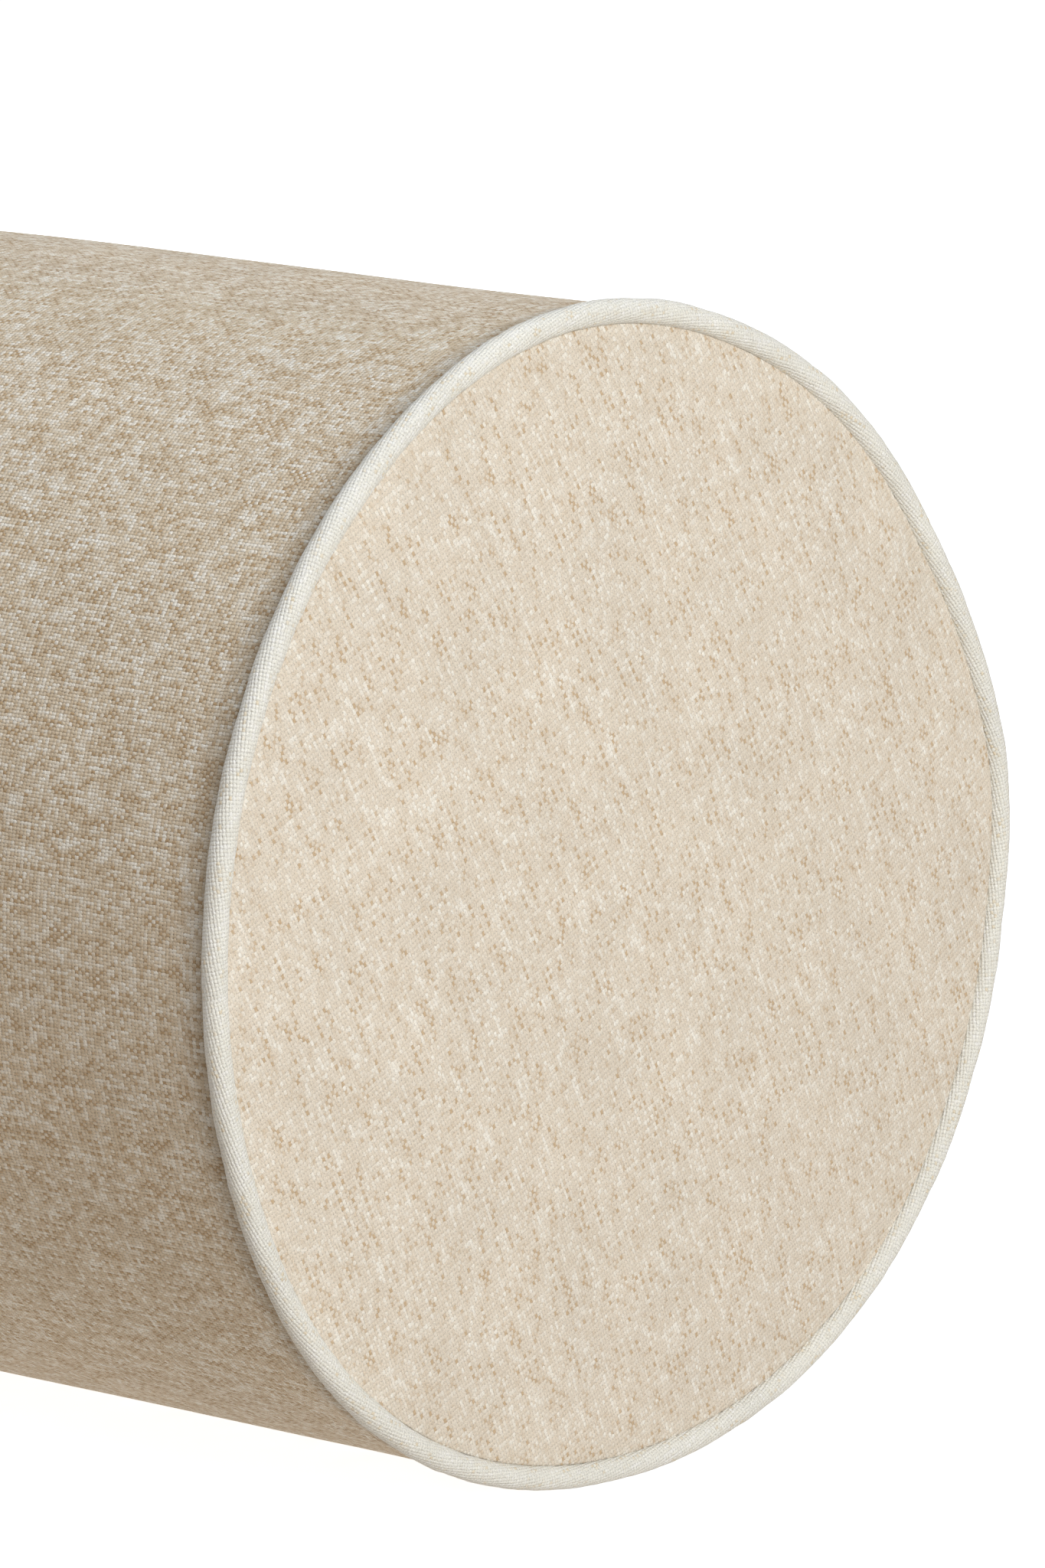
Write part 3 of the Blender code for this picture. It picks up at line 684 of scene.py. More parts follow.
# %% End panels
PANEL_GRID = 60
CLOTH_TURN = math.radians(27)  # the panels are cut with their threads turned this far
PANEL_EDGE = RING - 2.38 * MM
RIM_OUT = 0.7 * MM  # the panel leaves the piping this far out, low enough to show the piping's inner side


def crowned(radius, edge):
    return CROWN - 0.1 * MM - (CROWN - 0.1 * MM - RIM_OUT) * (radius / edge) ** 3.6


def disc_point(u, v):
    """A square of -1 to 1 squeezed into a disc."""
    return u * math.sqrt(1 - v * v / 2), v * math.sqrt(1 - u * u / 2)


def panel_point(side, u, v, edge=PANEL_EDGE, fall=0.0):
    a, b = disc_point(u, v)
    radius = math.hypot(a, b) * edge
    angle = math.atan2(b, a)
    out = crowned(radius, edge) - fall
    return around(side * (SEAM + out), angle, radius, (radius / edge) ** 1.5)


def ring_of_grid(count):
    """The grid's border, once round: pairs of row and column."""
    last = count - 1
    return ([(0, k) for k in range(last)] + [(i, last) for i in range(last)] +
            [(last, last - k) for k in range(last)] + [(last - i, 0) for i in range(last)])


def end_panel(name, side):
    steps = lay_out(PANEL_GRID, -1, 1)
    points = [panel_point(side, u, v, fall=0.5 * MM * (max(abs(u), abs(v)) < 0.97)) for u in steps for v in steps]
    border = [i * PANEL_GRID + k for i, k in ring_of_grid(PANEL_GRID)]
    faces = square_faces(PANEL_GRID)
    draft = mesh_piece(name, points, faces, panel_cloth)
    point_outwards(draft.data)
    face_along(draft.data, Vector((side, 0, 0)))
    inflate(draft, border, 3.0, PANEL_SWELL)
    # The rim rolls in beside the piping and its allowance goes back into the pillow.
    points = [vertex.co.copy() for vertex in draft.data.vertices]
    bpy.data.objects.remove(draft)
    turns = [math.radians(angle) for angle in (-80, -92, -105)]
    line = [(SEAM + ROLL * math.cos(turn), RING + ROLL * math.sin(turn)) for turn in turns]
    line += [(line[-1][0] - step * MM, line[-1][1] - step * MM) for step in (1.2, 3.2, 5.4)]
    previous = border
    for place, radius in line:
        start = len(points)
        for index in border:
            angle = from_axis(points[index])[1]
            points.append(around(side * place, angle, radius))
        ring = list(range(start, start + len(border)))
        faces += [(previous[k], ring[k], ring[(k + 1) % len(ring)], previous[(k + 1) % len(ring)])
                  for k in range(len(ring))]
        previous = ring
    panel = mesh_piece(name, points, faces, panel_cloth)
    point_outwards(panel.data)
    middle = min(panel.data.polygons, key=lambda face: math.hypot(face.center.y, face.center.z - AXIS.z))
    face_along(panel.data, Vector((side, 0, 0)), middle.index)
    panel = subdivide(panel, 0.9 * MM)
    for vertex in panel.data.vertices:
        place, angle, radius = from_axis(vertex.co)
        edge = smooth(radius, 92 * MM, 108 * MM) * (1 - smooth(radius, 108 * MM, 111 * MM))
        wave = noise.noise(Vector((math.cos(angle) * 15, math.sin(angle) * 15, 21 + side)))
        broad = noise.noise(vertex.co * 16 + Vector((0, 0, side)))
        vertex.co.x += side * (0.35 * MM * wave * edge + 0.3 * MM * broad * (1 - smooth(radius, 100 * MM, 109 * MM)))
        vertex.co.z = max(vertex.co.z, 0.05 * MM)
    sine, cosine = math.sin(CLOTH_TURN), math.cos(CLOTH_TURN)
    lay_cloth(panel, lambda point: (side * point.y * sine - point.z * cosine + 0.31,
                                    side * point.y * cosine + point.z * sine + 0.17), (None, None))
    panel.data.update()
    print(f"{name}: {len(panel.data.polygons)} faces")
    return panel


panels = {side: end_panel("panel_near" if side > 0 else "panel_far", side) for side in (1, -1)}

# %% [markdown]
# ## The piping
#
# The piping is a strip of ivory cloth cut on the bias and folded round a cord. Its shape follows a rule, one section
# carried round a ring, so Geometry Nodes sweep it: a ring with its normals held level, the section, and two layers
# of noise for the small bumps of a hand-fed seam. The ring is made flat, and then each point is set on the uneven
# bolster as the panels are.


# %% Piping nodes
def new_geometry_tree(name, sizes):
    """An empty geometry tree with named number inputs, and those inputs."""
    tree = bpy.data.node_groups.new(name, "GeometryNodeTree")
    tree.interface.new_socket("Geometry", in_out="INPUT", socket_type="NodeSocketGeometry")
    for label in sizes:
        tree.interface.new_socket(label, in_out="INPUT", socket_type="NodeSocketFloat")
    tree.interface.new_socket("Geometry", in_out="OUTPUT", socket_type="NodeSocketGeometry")
    return tree, tree.nodes.new("NodeGroupInput").outputs


def end_in_material(tree, geometry, finish):
    whole = add_node(tree, "GeometryNodeRealizeInstances", {0: geometry}).outputs[0]
    painted = add_node(tree, "GeometryNodeSetMaterial", {"Geometry": whole, "Material": finish}).outputs[0]
    add_node(tree, "NodeGroupOutput", {0: painted})


def run_geometry_tree(name, tree, sizes):
    """Runs a tree on a new object and keeps the plain mesh it makes."""
    holder = bpy.data.objects.new(name, bpy.data.meshes.new(name))
    scene.collection.objects.link(holder)
    step = holder.modifiers.new("Build", "NODES")
    step.node_group = tree
    for item in tree.interface.items_tree:
        if item.in_out == "INPUT" and item.name in sizes:
            step[item.identifier] = sizes[item.name]
    made = apply_modifiers(holder)
    made.data.shade_smooth()
    return made


def circle(tree, radius, steps):
    return add_node(tree, "GeometryNodeCurvePrimitiveCircle", {"Resolution": steps, "Radius": radius}).outputs[0]


def level_ring(tree, radius, steps):
    """A circle whose normals are held level."""
    return add_node(tree, "GeometryNodeSetCurveNormal", {0: circle(tree, radius, steps)}, mode="Z_UP").outputs[0]


def swept(tree, path, profile, closed=False):
    """A profile carried along a path, with its ends closed or not."""
    return add_node(tree, "GeometryNodeCurveToMesh", {"Curve": path, "Profile Curve": profile,
                                                      "Fill Caps": closed}).outputs[0]


def piping_section():
    """The outline of the folded strip, as (along, out) from the middle of the cord: round the cord, then a flange."""
    inner, outer, gap = PIPING - 0.75 * MM, PIPING, 0.05 * MM
    way = math.radians(225)
    opening = math.asin(0.8 * MM / outer)
    small = math.asin(gap / inner)
    outside = [way + opening + (2 * math.pi - 2 * opening) * i / 21 for i in range(22)]
    inside = [way + 2 * math.pi - small - (2 * math.pi - 2 * small) * i / 15 for i in range(16)]
    flange, across = 8.0 * MM, Vector((math.cos(way + math.pi / 2), math.sin(way + math.pi / 2)))
    down = Vector((math.cos(way), math.sin(way)))
    line = [outer * Vector((math.cos(angle), math.sin(angle))) for angle in outside]
    line += [down * flange - across * 0.8 * MM, down * flange - across * gap]
    line += [inner * Vector((math.cos(angle), math.sin(angle))) for angle in inside]
    return line + [down * flange + across * gap, down * flange + across * 0.8 * MM]


def section_curve(points):
    curve = bpy.data.curves.new("section", "CURVE")
    curve.dimensions = "2D"
    line = curve.splines.new("POLY")
    line.points.add(len(points) - 1)
    for item, point in zip(line.points, points):
        item.co = (point.x, point.y, 0, 1)
    line.use_cyclic_u = True
    made = bpy.data.objects.new("section", curve)
    scene.collection.objects.link(made)
    return made


def ring_tree(name, finish, section):
    """A section swept round a ring, with noise along its normals."""
    tree, given = new_geometry_tree(name, ["Ring Radius", "Bump Height", "Ripple Height", "Seed"])
    profile = add_node(tree, "GeometryNodeObjectInfo", {"Object": section}).outputs["Geometry"]
    geometry = swept(tree, level_ring(tree, given["Ring Radius"], 720), profile)
    for label, scale in (("Bump Height", 75), ("Ripple Height", 300)):
        field = add_node(tree, "ShaderNodeTexNoise", {"Scale": scale, "Detail": 1, "W": given["Seed"]},
                         noise_dimensions="4D").outputs["Fac"]
        height = maths(tree, "MULTIPLY", maths(tree, "SUBTRACT", field, 0.5), given[label])
        normal = tree.nodes.new("GeometryNodeInputNormal").outputs[0]
        push = add_node(tree, "ShaderNodeVectorMath", {0: normal, "Scale": height}, operation="SCALE").outputs[0]
        geometry = add_node(tree, "GeometryNodeSetPosition", {"Geometry": geometry, "Offset": push}).outputs[0]
    end_in_material(tree, geometry, finish)
    return tree


section = section_curve(piping_section())
piping_tree = ring_tree("piping_nodes", piping_cloth, section)


# %% Set the piping on the bolster
def place_ring(piece, side):
    """Turns a ring made flat into one round the bolster's end."""
    mesh = piece.data
    for vertex in mesh.vertices:
        angle = math.atan2(vertex.co.y, vertex.co.x)
        radius = math.hypot(vertex.co.x, vertex.co.y)
        vertex.co = around(side * (SEAM - vertex.co.z), angle, radius)
    point_outwards(mesh)
    return piece


def on_piping(side):
    """The piping's cloth map: round the ring, and round the cord."""
    def place_on_cloth(point):
        place, angle, radius = from_axis(point)
        away = radius - RING - unevenness(place, angle)
        return angle * RING, math.atan2(away, side * place - SEAM) * PIPING
    return place_on_cloth


piping = {}
for side in (1, -1):
    made = run_geometry_tree("piping_near_cloth" if side > 0 else "piping_far_cloth", piping_tree,
                             {"Ring Radius": RING, "Bump Height": 0.6 * MM, "Ripple Height": 0.3 * MM,
                              "Seed": 2.0 + side})
    place_ring(made, side)
    lay_cloth(made, on_piping(side), (2 * math.pi * RING, 2 * math.pi * PIPING))
    piping[side] = made
    print(made.name, len(made.data.polygons), "faces", [round(value, 4) for value in made.bound_box[6]])

# %% [markdown]
# ## Inside the cover
#
# The cushion is hidden while the zip is shut, but it is a real part of the pillow: a calico casing, a thick wrap of
# polyester wadding, and a firm foam core. All three follow the same outline at different depths, with a round
# shoulder that leaves room for the seam allowances, and a shallow dip behind the zip.

# %% Finishes of the inside
calico = woven_cloth("calico_weave", (0.42 * MM, 0.40 * MM),
                     ((0.80, 0.74, 0.62), (0.50, 0.38, 0.24), (0.88, 0.85, 0.77)), (-0.05, 0.0), 0.05 * MM,
                     painted_hollow_shade=0.2)


def foam_finish():
    """Foam: open cells of two sizes, a little yellow where it has aged."""
    made, tree, sockets = finish_named("foam_cells", 0.95)
    place = own_coordinates(tree)
    small, large = (add_node(tree, "ShaderNodeTexVoronoi", {"Scale": scale, "Vector": place},
                             feature="F1").outputs["Distance"] for scale in (900, 420))
    depth = maths(tree, "MULTIPLY_ADD", large, 0.6, small)
    aged = blend_colours(tree, noise_at(tree, place, 18, 3, 2), (0.86, 0.82, 0.66, 1), (0.80, 0.72, 0.50, 1))
    # Deeper in the cells the colour is drawn darker: painted shade in the pores.
    tree.links.new(shaded(tree, aged, between(tree, depth, 0.2, 0.9, 1.0, 0.72)), sockets["Base Color"])
    add_bump(tree, sockets, maths(tree, "MULTIPLY", depth, -1), 0.4 * MM)
    return made


def wadding_finish():
    """Wadding: white crimped fibres that lie every way, with softer lumps below."""
    made, tree, sockets = finish_named("wadding_fibres", 0.9, {"Sheen Weight": 0.4})
    place = own_coordinates(tree)
    fibres = 0.0
    for number, turn in enumerate(((0.4, 0.2, 0.1), (1.5, 0.9, 0.3), (0.3, 1.9, 1.1))):
        way = add_node(tree, "ShaderNodeVectorRotate", {"Rotation": turn, "Vector": place},
                       rotation_type="EULER_XYZ").outputs[0]
        strands = add_node(tree, "ShaderNodeTexWave", {"Scale": 170, "Distortion": 9, "Detail": 2,
                                                       "Detail Scale": 1.4, "Vector": way}, bands_direction="X")
        fibres = maths(tree, "MAXIMUM", fibres, maths(tree, "POWER", strands.outputs["Fac"], 6 + number))
    height = maths(tree, "ADD", fibres, noise_at(tree, place, 60, 3, 4))
    # Lower down among the fibres the white turns grey: painted shade.
    colour = blend_colours(tree, between(tree, height, 0.4, 1.5), (0.80, 0.80, 0.79, 1), (0.93, 0.93, 0.92, 1))
    tree.links.new(colour, sockets["Base Color"])
    add_bump(tree, sockets, height, 0.5 * MM)
    return made


foam_cells, wadding_fibres = foam_finish(), wadding_finish()
print("inside finishes:", calico.name, foam_cells.name, wadding_fibres.name)

# %% Outline of the cushion
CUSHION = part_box("casing_body")[1].z - AXIS.z
CUSHION_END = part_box("casing_body")[1].x
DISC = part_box("casing_end_near")[1].z - AXIS.z
END_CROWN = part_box("casing_end_near")[1].x - CUSHION_END
SHOULDER = CUSHION - DISC - 1.3 * MM
FLAT = reach("casing_body", OUT)[1]
CLEAR = 0.5 * MM  # the casing stays this far inside its solid, so that the cover never touches through
COLUMNS = 96


def within(x, angle, radius):
    """A point of the cushion: as on the bolster, but dipped behind the zip."""
    facing = math.cos(angle - ZIP_ANGLE)
    radius *= min(1, FLAT / CUSHION / max(facing, 0.1))
    return around(x, angle, radius, (radius / CUSHION) ** 2)


def outline(depth, steps=44):
    """Places along and distances from the axis, from the middle of one end to the other, below the surface."""
    arc = [(CUSHION_END - SHOULDER + (SHOULDER - depth) * math.sin(turn), CUSHION - SHOULDER +
            (SHOULDER - depth) * math.cos(turn)) for turn in lay_out(9, 0, math.pi / 2)]
    straight = [(x, CUSHION - depth) for x in lay_out(steps, -arc[0][0], arc[0][0])]
    return [(-x, radius) for x, radius in reversed(arc)] + straight[1:-1] + arc


def turned_rows(line):
    return [[within(x, ZIP_ANGLE + 2 * math.pi * k / COLUMNS, radius) for k in range(COLUMNS)] for x, radius in line]


def cap_rows(side, x, edge, crown_height):
    """A disc grid for an end, with COLUMNS points round its border: its points and its faces."""
    count = COLUMNS // 4 + 1
    points = []
    for u in lay_out(count, -1, 1):
        for v in lay_out(count, -1, 1):
            a, b = disc_point(u, v)
            radius = math.hypot(a, b)
            angle = math.atan2(b, a)
            points.append(within(side * (x + crown_height * (1 - radius ** 2)), angle, radius * edge))
    return points, square_faces(count)


def lumpy(piece, height, scale, seed):
    for vertex in piece.data.vertices:
        out = vertex.co - AXIS
        out.x = 0
        if out.length > 1e-4:
            vertex.co += out.normalized() * height * noise.noise(vertex.co * scale + Vector((seed, 0, 0)))
        vertex.co.z = max(vertex.co.z, 0.9 * MM)


def wrapped_piece(name, depth, thickness, finish):
    piece = grid_piece(name, turned_rows(outline(depth)), finish, wrap_columns=True)
    point_outwards(piece.data)
    return subdivide(piece, thickness)


def end_piece(name, side, depth, thickness, finish):
    points, faces = cap_rows(side, CUSHION_END - depth, DISC - 0.4 * MM, END_CROWN - CLEAR)
    piece = mesh_piece(name, points, faces, finish)
    face_along(piece.data, Vector((side, 0, 0)))
    return subdivide(piece, thickness)


# %% Casing, wadding and core
WADDING_DEPTH = CUSHION - (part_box("wadding_wrap")[1].z - AXIS.z)
FOAM_DEPTH = CUSHION - (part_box("foam_core")[1].z - AXIS.z)
LOFT = FOAM_DEPTH - WADDING_DEPTH - 0.8 * MM
casing = wrapped_piece("casing", CLEAR, 0.3 * MM, calico)
lay_cloth(casing, unrolled, (None, 2 * math.pi * RADIUS))
wadding = wrapped_piece("wadding", WADDING_DEPTH + CLEAR, LOFT, wadding_fibres)
inner_pieces = {"casing": casing, "wadding": wadding}
for side, place in ((1, "near"), (-1, "far")):
    end = end_piece(f"casing_{place}", side, CLEAR, 0.3 * MM, calico)
    lay_cloth(end, lambda point: (point.y + 0.2, point.z), (None, None))
    inner_pieces[end.name] = end
    inner_pieces[f"wadding_{place}"] = end_piece(f"wadding_{place}", side, WADDING_DEPTH + CLEAR, LOFT,
                                                 wadding_fibres)


def foam_core():
    """The core is closed: its tube and both its domed ends are joined into one skin."""
    depth = FOAM_DEPTH + CLEAR
    line = outline(depth)
    rows = turned_rows(line)
    shape = bmesh.new()
    rings = [[shape.verts.new(point) for point in row] for row in rows]
    for low, high in zip(rings, rings[1:]):
        for k in range(COLUMNS):
            shape.faces.new((low[k], low[(k + 1) % COLUMNS], high[(k + 1) % COLUMNS], high[k]))
    grid = COLUMNS // 4 + 1
    order = {place: number for number, place in enumerate(ring_of_grid(grid))}
    for side in (-1, 1):
        x, edge = line[-1]
        points, faces = cap_rows(side, x, edge, END_CROWN - 1 * MM)
        ring = rings[-1] if side > 0 else rings[0]
        # The grid's border runs the other way round, from 225 degrees, and uses the tube's own last ring.
        start = round((math.radians(225) - ZIP_ANGLE) / (2 * math.pi) * COLUMNS)
        made = []
        for index, point in enumerate(points):
            place = divmod(index, grid)
            made.append(ring[(start - order[place]) % COLUMNS] if place in order else shape.verts.new(point))
        for face in faces:
            shape.faces.new([made[index] for index in face])
    bmesh.ops.remove_doubles(shape, verts=shape.verts, dist=0.02 * MM)
    bmesh.ops.recalc_face_normals(shape, faces=shape.faces)
    open_edges = sum(1 for edge in shape.edges if not edge.is_manifold)
    mesh = bpy.data.meshes.new("core")
    shape.to_mesh(mesh)
    shape.free()
    print("core: open edges", open_edges)
    return subdivide(new_piece("core", mesh, foam_cells))


inner_pieces["core"] = foam_core()
for name, piece in inner_pieces.items():
    if name.startswith("wadding"):
        lumpy(piece, 0.4 * MM, 60, 4)
    print(name, len(piece.data.polygons), "faces")

# %% [markdown]
# ## Cords in the piping
#
# The cord inside each piping is cotton, three strands twisted together. Its section is a rounded trefoil that turns
# as it goes round the ring, which gives the rope its lay. It is the same rule as the piping, a section on a ring,
# so it is a sweep as well, with the twist set on the curve.

# %% Cotton cord
CORD_RADIUS, CORD_TURNS = 1.35 * MM, 110.0


def cotton_finish():
    made, tree, sockets = finish_named("cotton_strands", 0.9, {"Sheen Weight": 0.3})
    uv = add_node(tree, "ShaderNodeUVMap", uv_map="cloth").outputs[0]
    fibres = add_node(tree, "ShaderNodeTexWave", {"Scale": 900, "Distortion": 1.5, "Vector": uv},
                      bands_direction="DIAGONAL").outputs["Fac"]
    tone = blend_colours(tree, noise_at(tree, uv, 400, 2, 3), (0.84, 0.80, 0.70, 1), (0.90, 0.88, 0.81, 1))
    # Between the raised fibres the cotton is drawn darker: painted shade.
    tree.links.new(shaded(tree, tone, maths(tree, "MULTIPLY_ADD", fibres, 0.2, 0.8)), sockets["Base Color"])
    add_bump(tree, sockets, fibres, 0.08 * MM)
    return made


def cord_tree(finish):
    """A trefoil section, twisted as it is swept round a ring."""
    tree, given = new_geometry_tree("cord_nodes", ["Ring Radius", "Cord Radius", "Turns"])
    times = partial(maths, tree, "MULTIPLY")
    along = tree.nodes.new("GeometryNodeSplineParameter").outputs["Factor"]
    angle = times(times(along, given["Turns"]), 2 * math.pi)
    twisted = add_node(tree, "GeometryNodeSetCurveTilt", {"Curve": level_ring(tree, given["Ring Radius"], 900),
                                                          "Tilt": angle}).outputs[0]
    radius = given["Cord Radius"]
    trefoil = add_node(tree, "GeometryNodeCurveStar", {"Points": 3, "Twist": 0, "Outer Radius": radius,
                                                       "Inner Radius": times(radius, 0.62)}).outputs["Curve"]
    rounded = add_node(tree, "GeometryNodeCurveSplineType", {"Curve": trefoil}, spline_type="CATMULL_ROM").outputs[0]
    section = add_node(tree, "GeometryNodeSetSplineResolution", {"Geometry": rounded, "Resolution": 3}).outputs[0]
    end_in_material(tree, swept(tree, twisted, section), finish)
    return tree


cotton = cotton_finish()
twist_tree = cord_tree(cotton)
cords = {}
for side in (1, -1):
    made = run_geometry_tree("piping_near_core" if side > 0 else "piping_far_core", twist_tree,
                             {"Ring Radius": RING, "Cord Radius": CORD_RADIUS, "Turns": CORD_TURNS})
    place_ring(made, side)
    lay_cloth(made, on_piping(side), (2 * math.pi * RING, 2 * math.pi * PIPING))
    cords[side] = made
    print(made.name, len(made.data.polygons), "faces")

# %% [markdown]
# ## The zip
#
# The zip lies along the back, a little above the middle. Its two tapes are sewn under the cover's folded edges, and
# a nylon coil runs along each. A coil really is one long spiral, so Geometry Nodes sweep a thin round section along
# a spiral and press it into a flat oval. A place on the zip is a distance along it, across it and out from the axis.

# %% Places and finishes of the zip
def on_zip(along, across, out):
    return AXIS + Vector((along, 0, 0)) + ACROSS * across + OUT * out


tape_cloth = woven_cloth("tape_weave", (0.55 * MM, 0.34 * MM),
                         ((0.70, 0.62, 0.49), (0.62, 0.53, 0.40), (0.76, 0.70, 0.58)), (-0.05, -0.04), 0.06 * MM,
                         sheen=0.2, wander=0.03 * MM)


def mottled_finish(name, roughness, settings, colours, patterns, gloss, depth):
    """A smooth finish, a little uneven in its colour, gloss and surface. patterns holds the scale, detail and seed of
    the noise for each of the three, and gloss is how much the roughness varies and its least."""
    made, tree, sockets = finish_named(name, roughness, settings)
    place = own_coordinates(tree)
    tone, rough, bump = (noise_at(tree, place, *pattern) for pattern in patterns)
    colour = blend_colours(tree, tone, *((*colour, 1) for colour in colours))
    tree.links.new(colour, sockets["Base Color"])
    tree.links.new(maths(tree, "MULTIPLY_ADD", rough, *gloss), sockets["Roughness"])
    add_bump(tree, sockets, bump, depth)
    return made, tree, sockets, colour


def enamel_finish():
    """Painted die-cast metal: an even coat, faint orange peel, and bare metal where hands and the tape rub it."""
    made, tree, sockets, coat = mottled_finish(
        "beige_enamel", 0.3, {"Coat Weight": 0.3}, ((0.60, 0.52, 0.40), (0.66, 0.58, 0.46)),
        ((300, 2, 9), (1200, 2, 10), (1500, 1, 11)), (0.15, 0.25), 0.03 * MM)
    edges = tree.nodes.new("ShaderNodeNewGeometry").outputs["Pointiness"]
    patches = between(tree, noise_at(tree, own_coordinates(tree), 500, 3, 8), 0.45, 0.7)
    rubbed = maths(tree, "MULTIPLY", between(tree, edges, 0.53, 0.60), patches)
    tree.links.new(blend_colours(tree, rubbed, coat, (0.62, 0.61, 0.60, 1)), sockets["Base Color"])
    tree.links.new(rubbed, sockets["Metallic"])
    return made


def thread_finish():
    """Sewing thread: two strands twisted together, lit along their turns."""
    made, tree, sockets = finish_named("sewing_thread", 0.55, {"Sheen Weight": 0.2})
    plies = add_node(tree, "ShaderNodeTexWave", {"Scale": 1400, "Distortion": 0.5, "Vector": own_coordinates(tree)},
                     bands_direction="DIAGONAL").outputs["Fac"]
    tree.links.new(blend_colours(tree, plies, (0.60, 0.51, 0.38, 1), (0.80, 0.73, 0.60, 1)), sockets["Base Color"])
    add_bump(tree, sockets, plies, 0.05 * MM)
    return made


nylon = mottled_finish("nylon_filament", 0.38, {}, ((0.62, 0.54, 0.42), (0.72, 0.65, 0.53)),
                       ((220, 2, 5), (900, 2, 6), (2500, 2, 7)), (0.2, 0.28), 0.03 * MM)[0]
stop_metal = mottled_finish("pressed_metal", 0.4, {"Metallic": 0.9}, ((0.44, 0.43, 0.41), (0.56, 0.55, 0.52)),
                            ((700, 3, 12), (1500, 3, 13), (2000, 2, 14)), (0.3, 0.25), 0.04 * MM)[0]
enamel, thread = enamel_finish(), thread_finish()
print("zip finishes:", tape_cloth.name, nylon.name, enamel.name, stop_metal.name, thread.name)

# %% Tapes
zip_pieces = {}
for name in ("upper", "lower"):
    solid = f"zip_tape_{name}"
    low, high = reach(solid, ACROSS)
    top = reach(solid, OUT)[1]
    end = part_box(solid)[1].x
    edges = lay_out(9, low + 0.05 * MM, high - 0.05 * MM)
    rows = []
    for along in lay_out(160, -end, end):
        row = []
        for k, across in enumerate(edges):
            ripple = 0.05 * MM * noise.noise(Vector((along * 60, across * 200, 3)))
            row.append(on_zip(along, across, top - 0.06 * MM + ripple - (0.05 * MM if k in (0, 8) else 0)))
        rows.append(row)
    tape = grid_piece(f"tape_{name}", rows, tape_cloth)
    face_along(tape.data, OUT)
    tape = subdivide(tape, 0.3 * MM)
    lay_cloth(tape, lambda point: (point.x, (point - AXIS).dot(ACROSS)), (None, None))
    zip_pieces[solid] = tape
    print(tape.name, len(tape.data.polygons), "faces, at", round(top, 4))


# %% Coil nodes
def coil_tree(finish):
    """A thin round section swept along a spiral, which is then pressed flat."""
    tree, given = new_geometry_tree("coil_nodes", ["Turns", "Length", "Width", "Height", "Filament"])
    times = partial(maths, tree, "MULTIPLY")
    spiral = add_node(tree, "GeometryNodeCurveSpiral", {"Resolution": 10, "Start Radius": 1.0, "End Radius": 1.0,
                                                        "Rotations": given["Turns"], "Height": given["Length"]})
    where = tree.nodes.new("GeometryNodeInputPosition").outputs[0]
    x, y, z = add_node(tree, "ShaderNodeSeparateXYZ", {0: where}).outputs[:3]
    pressed = vector_of(tree, times(x, given["Width"]), times(y, given["Height"]), z)
    path = add_node(tree, "GeometryNodeSetPosition", {"Geometry": spiral.outputs[0], "Position": pressed}).outputs[0]
    end_in_material(tree, swept(tree, path, circle(tree, given["Filament"], 5), True), finish)
    return tree


# %% Coils
FILAMENT = 0.32 * MM
COIL_PITCH = 1.45 * MM
COIL_LEAN = 0.35 * MM  # each coil leans its heads towards the other by this much
HALF_TURN = 0.36 * MM  # the two coils mesh, so one is set on by this much
spiral_tree = coil_tree(nylon)
for name, way in (("upper", -1), ("lower", 1)):
    solid = f"zip_coil_{name}"
    low, high = reach(solid, ACROSS)
    bottom, top = reach(solid, OUT)
    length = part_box(solid)[1].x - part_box(solid)[0].x - 2 * FILAMENT
    turns = round(length / COIL_PITCH)
    coil = run_geometry_tree(f"coil_{name}", spiral_tree,
                             {"Turns": float(turns), "Length": length, "Width": (high - low) / 2 - FILAMENT * 0.7,
                              "Height": (top - bottom) / 2 - FILAMENT, "Filament": FILAMENT})
    start = (HALF_TURN if way > 0 else 0) - length / 2
    for vertex in coil.data.vertices:
        across, out, along = vertex.co
        vertex.co = on_zip(along + start, (low + high) / 2 + way * (across - COIL_LEAN), (top + bottom) / 2 + out)
    point_outwards(coil.data)
    zip_pieces[solid] = coil
    print(coil.name, turns, "turns,", len(coil.data.polygons), "faces")


# %% Metal and moulded pieces
def softened(name, solid, finish, bevel):
    """A copy of a CAD solid, merged and with its edges rounded."""
    mesh = frame["nodes"][solid].data.copy()
    shape = bmesh.new()
    shape.from_mesh(mesh)
    bmesh.ops.remove_doubles(shape, verts=shape.verts, dist=0.005 * MM)
    bmesh.ops.dissolve_limit(shape, angle_limit=math.radians(1), verts=shape.verts, edges=shape.edges)
    bmesh.ops.recalc_face_normals(shape, faces=shape.faces)
    shape.to_mesh(mesh)
    shape.free()
    piece = new_piece(name, mesh, finish)
    step = piece.modifiers.new("Round", "BEVEL")
    step.width = bevel
    step.segments = 3
    step.limit_method = "ANGLE"
    step.angle_limit = math.radians(35)
    piece = apply_modifiers(piece)
    piece.data.shade_smooth()
    piece.data.set_sharp_from_angle(angle=math.radians(40))
    print(name, len(piece.data.polygons), "faces")
    return piece


zip_pieces["zip_slider"] = softened("slider", "zip_slider", enamel, 0.14 * MM)
zip_pieces["zip_pull"] = softened("pull", "zip_pull", enamel, 0.16 * MM)
for solid in ("zip_top_stop_upper", "zip_top_stop_lower", "zip_bottom_stop"):
    zip_pieces[solid] = softened(solid.replace("zip_", ""), solid, stop_metal, 0.12 * MM)

# %% [markdown]
# ## Stitches
#
# The cover is sewn to the tapes by a row of lockstitches on each side of the slit, and a dense little bar of
# stitches closes each end of it. One stitch is a short arc of thread, and Geometry Nodes set it down again and
# again along a line. The row is made flat, then each of its points is carried to its place on the cover.


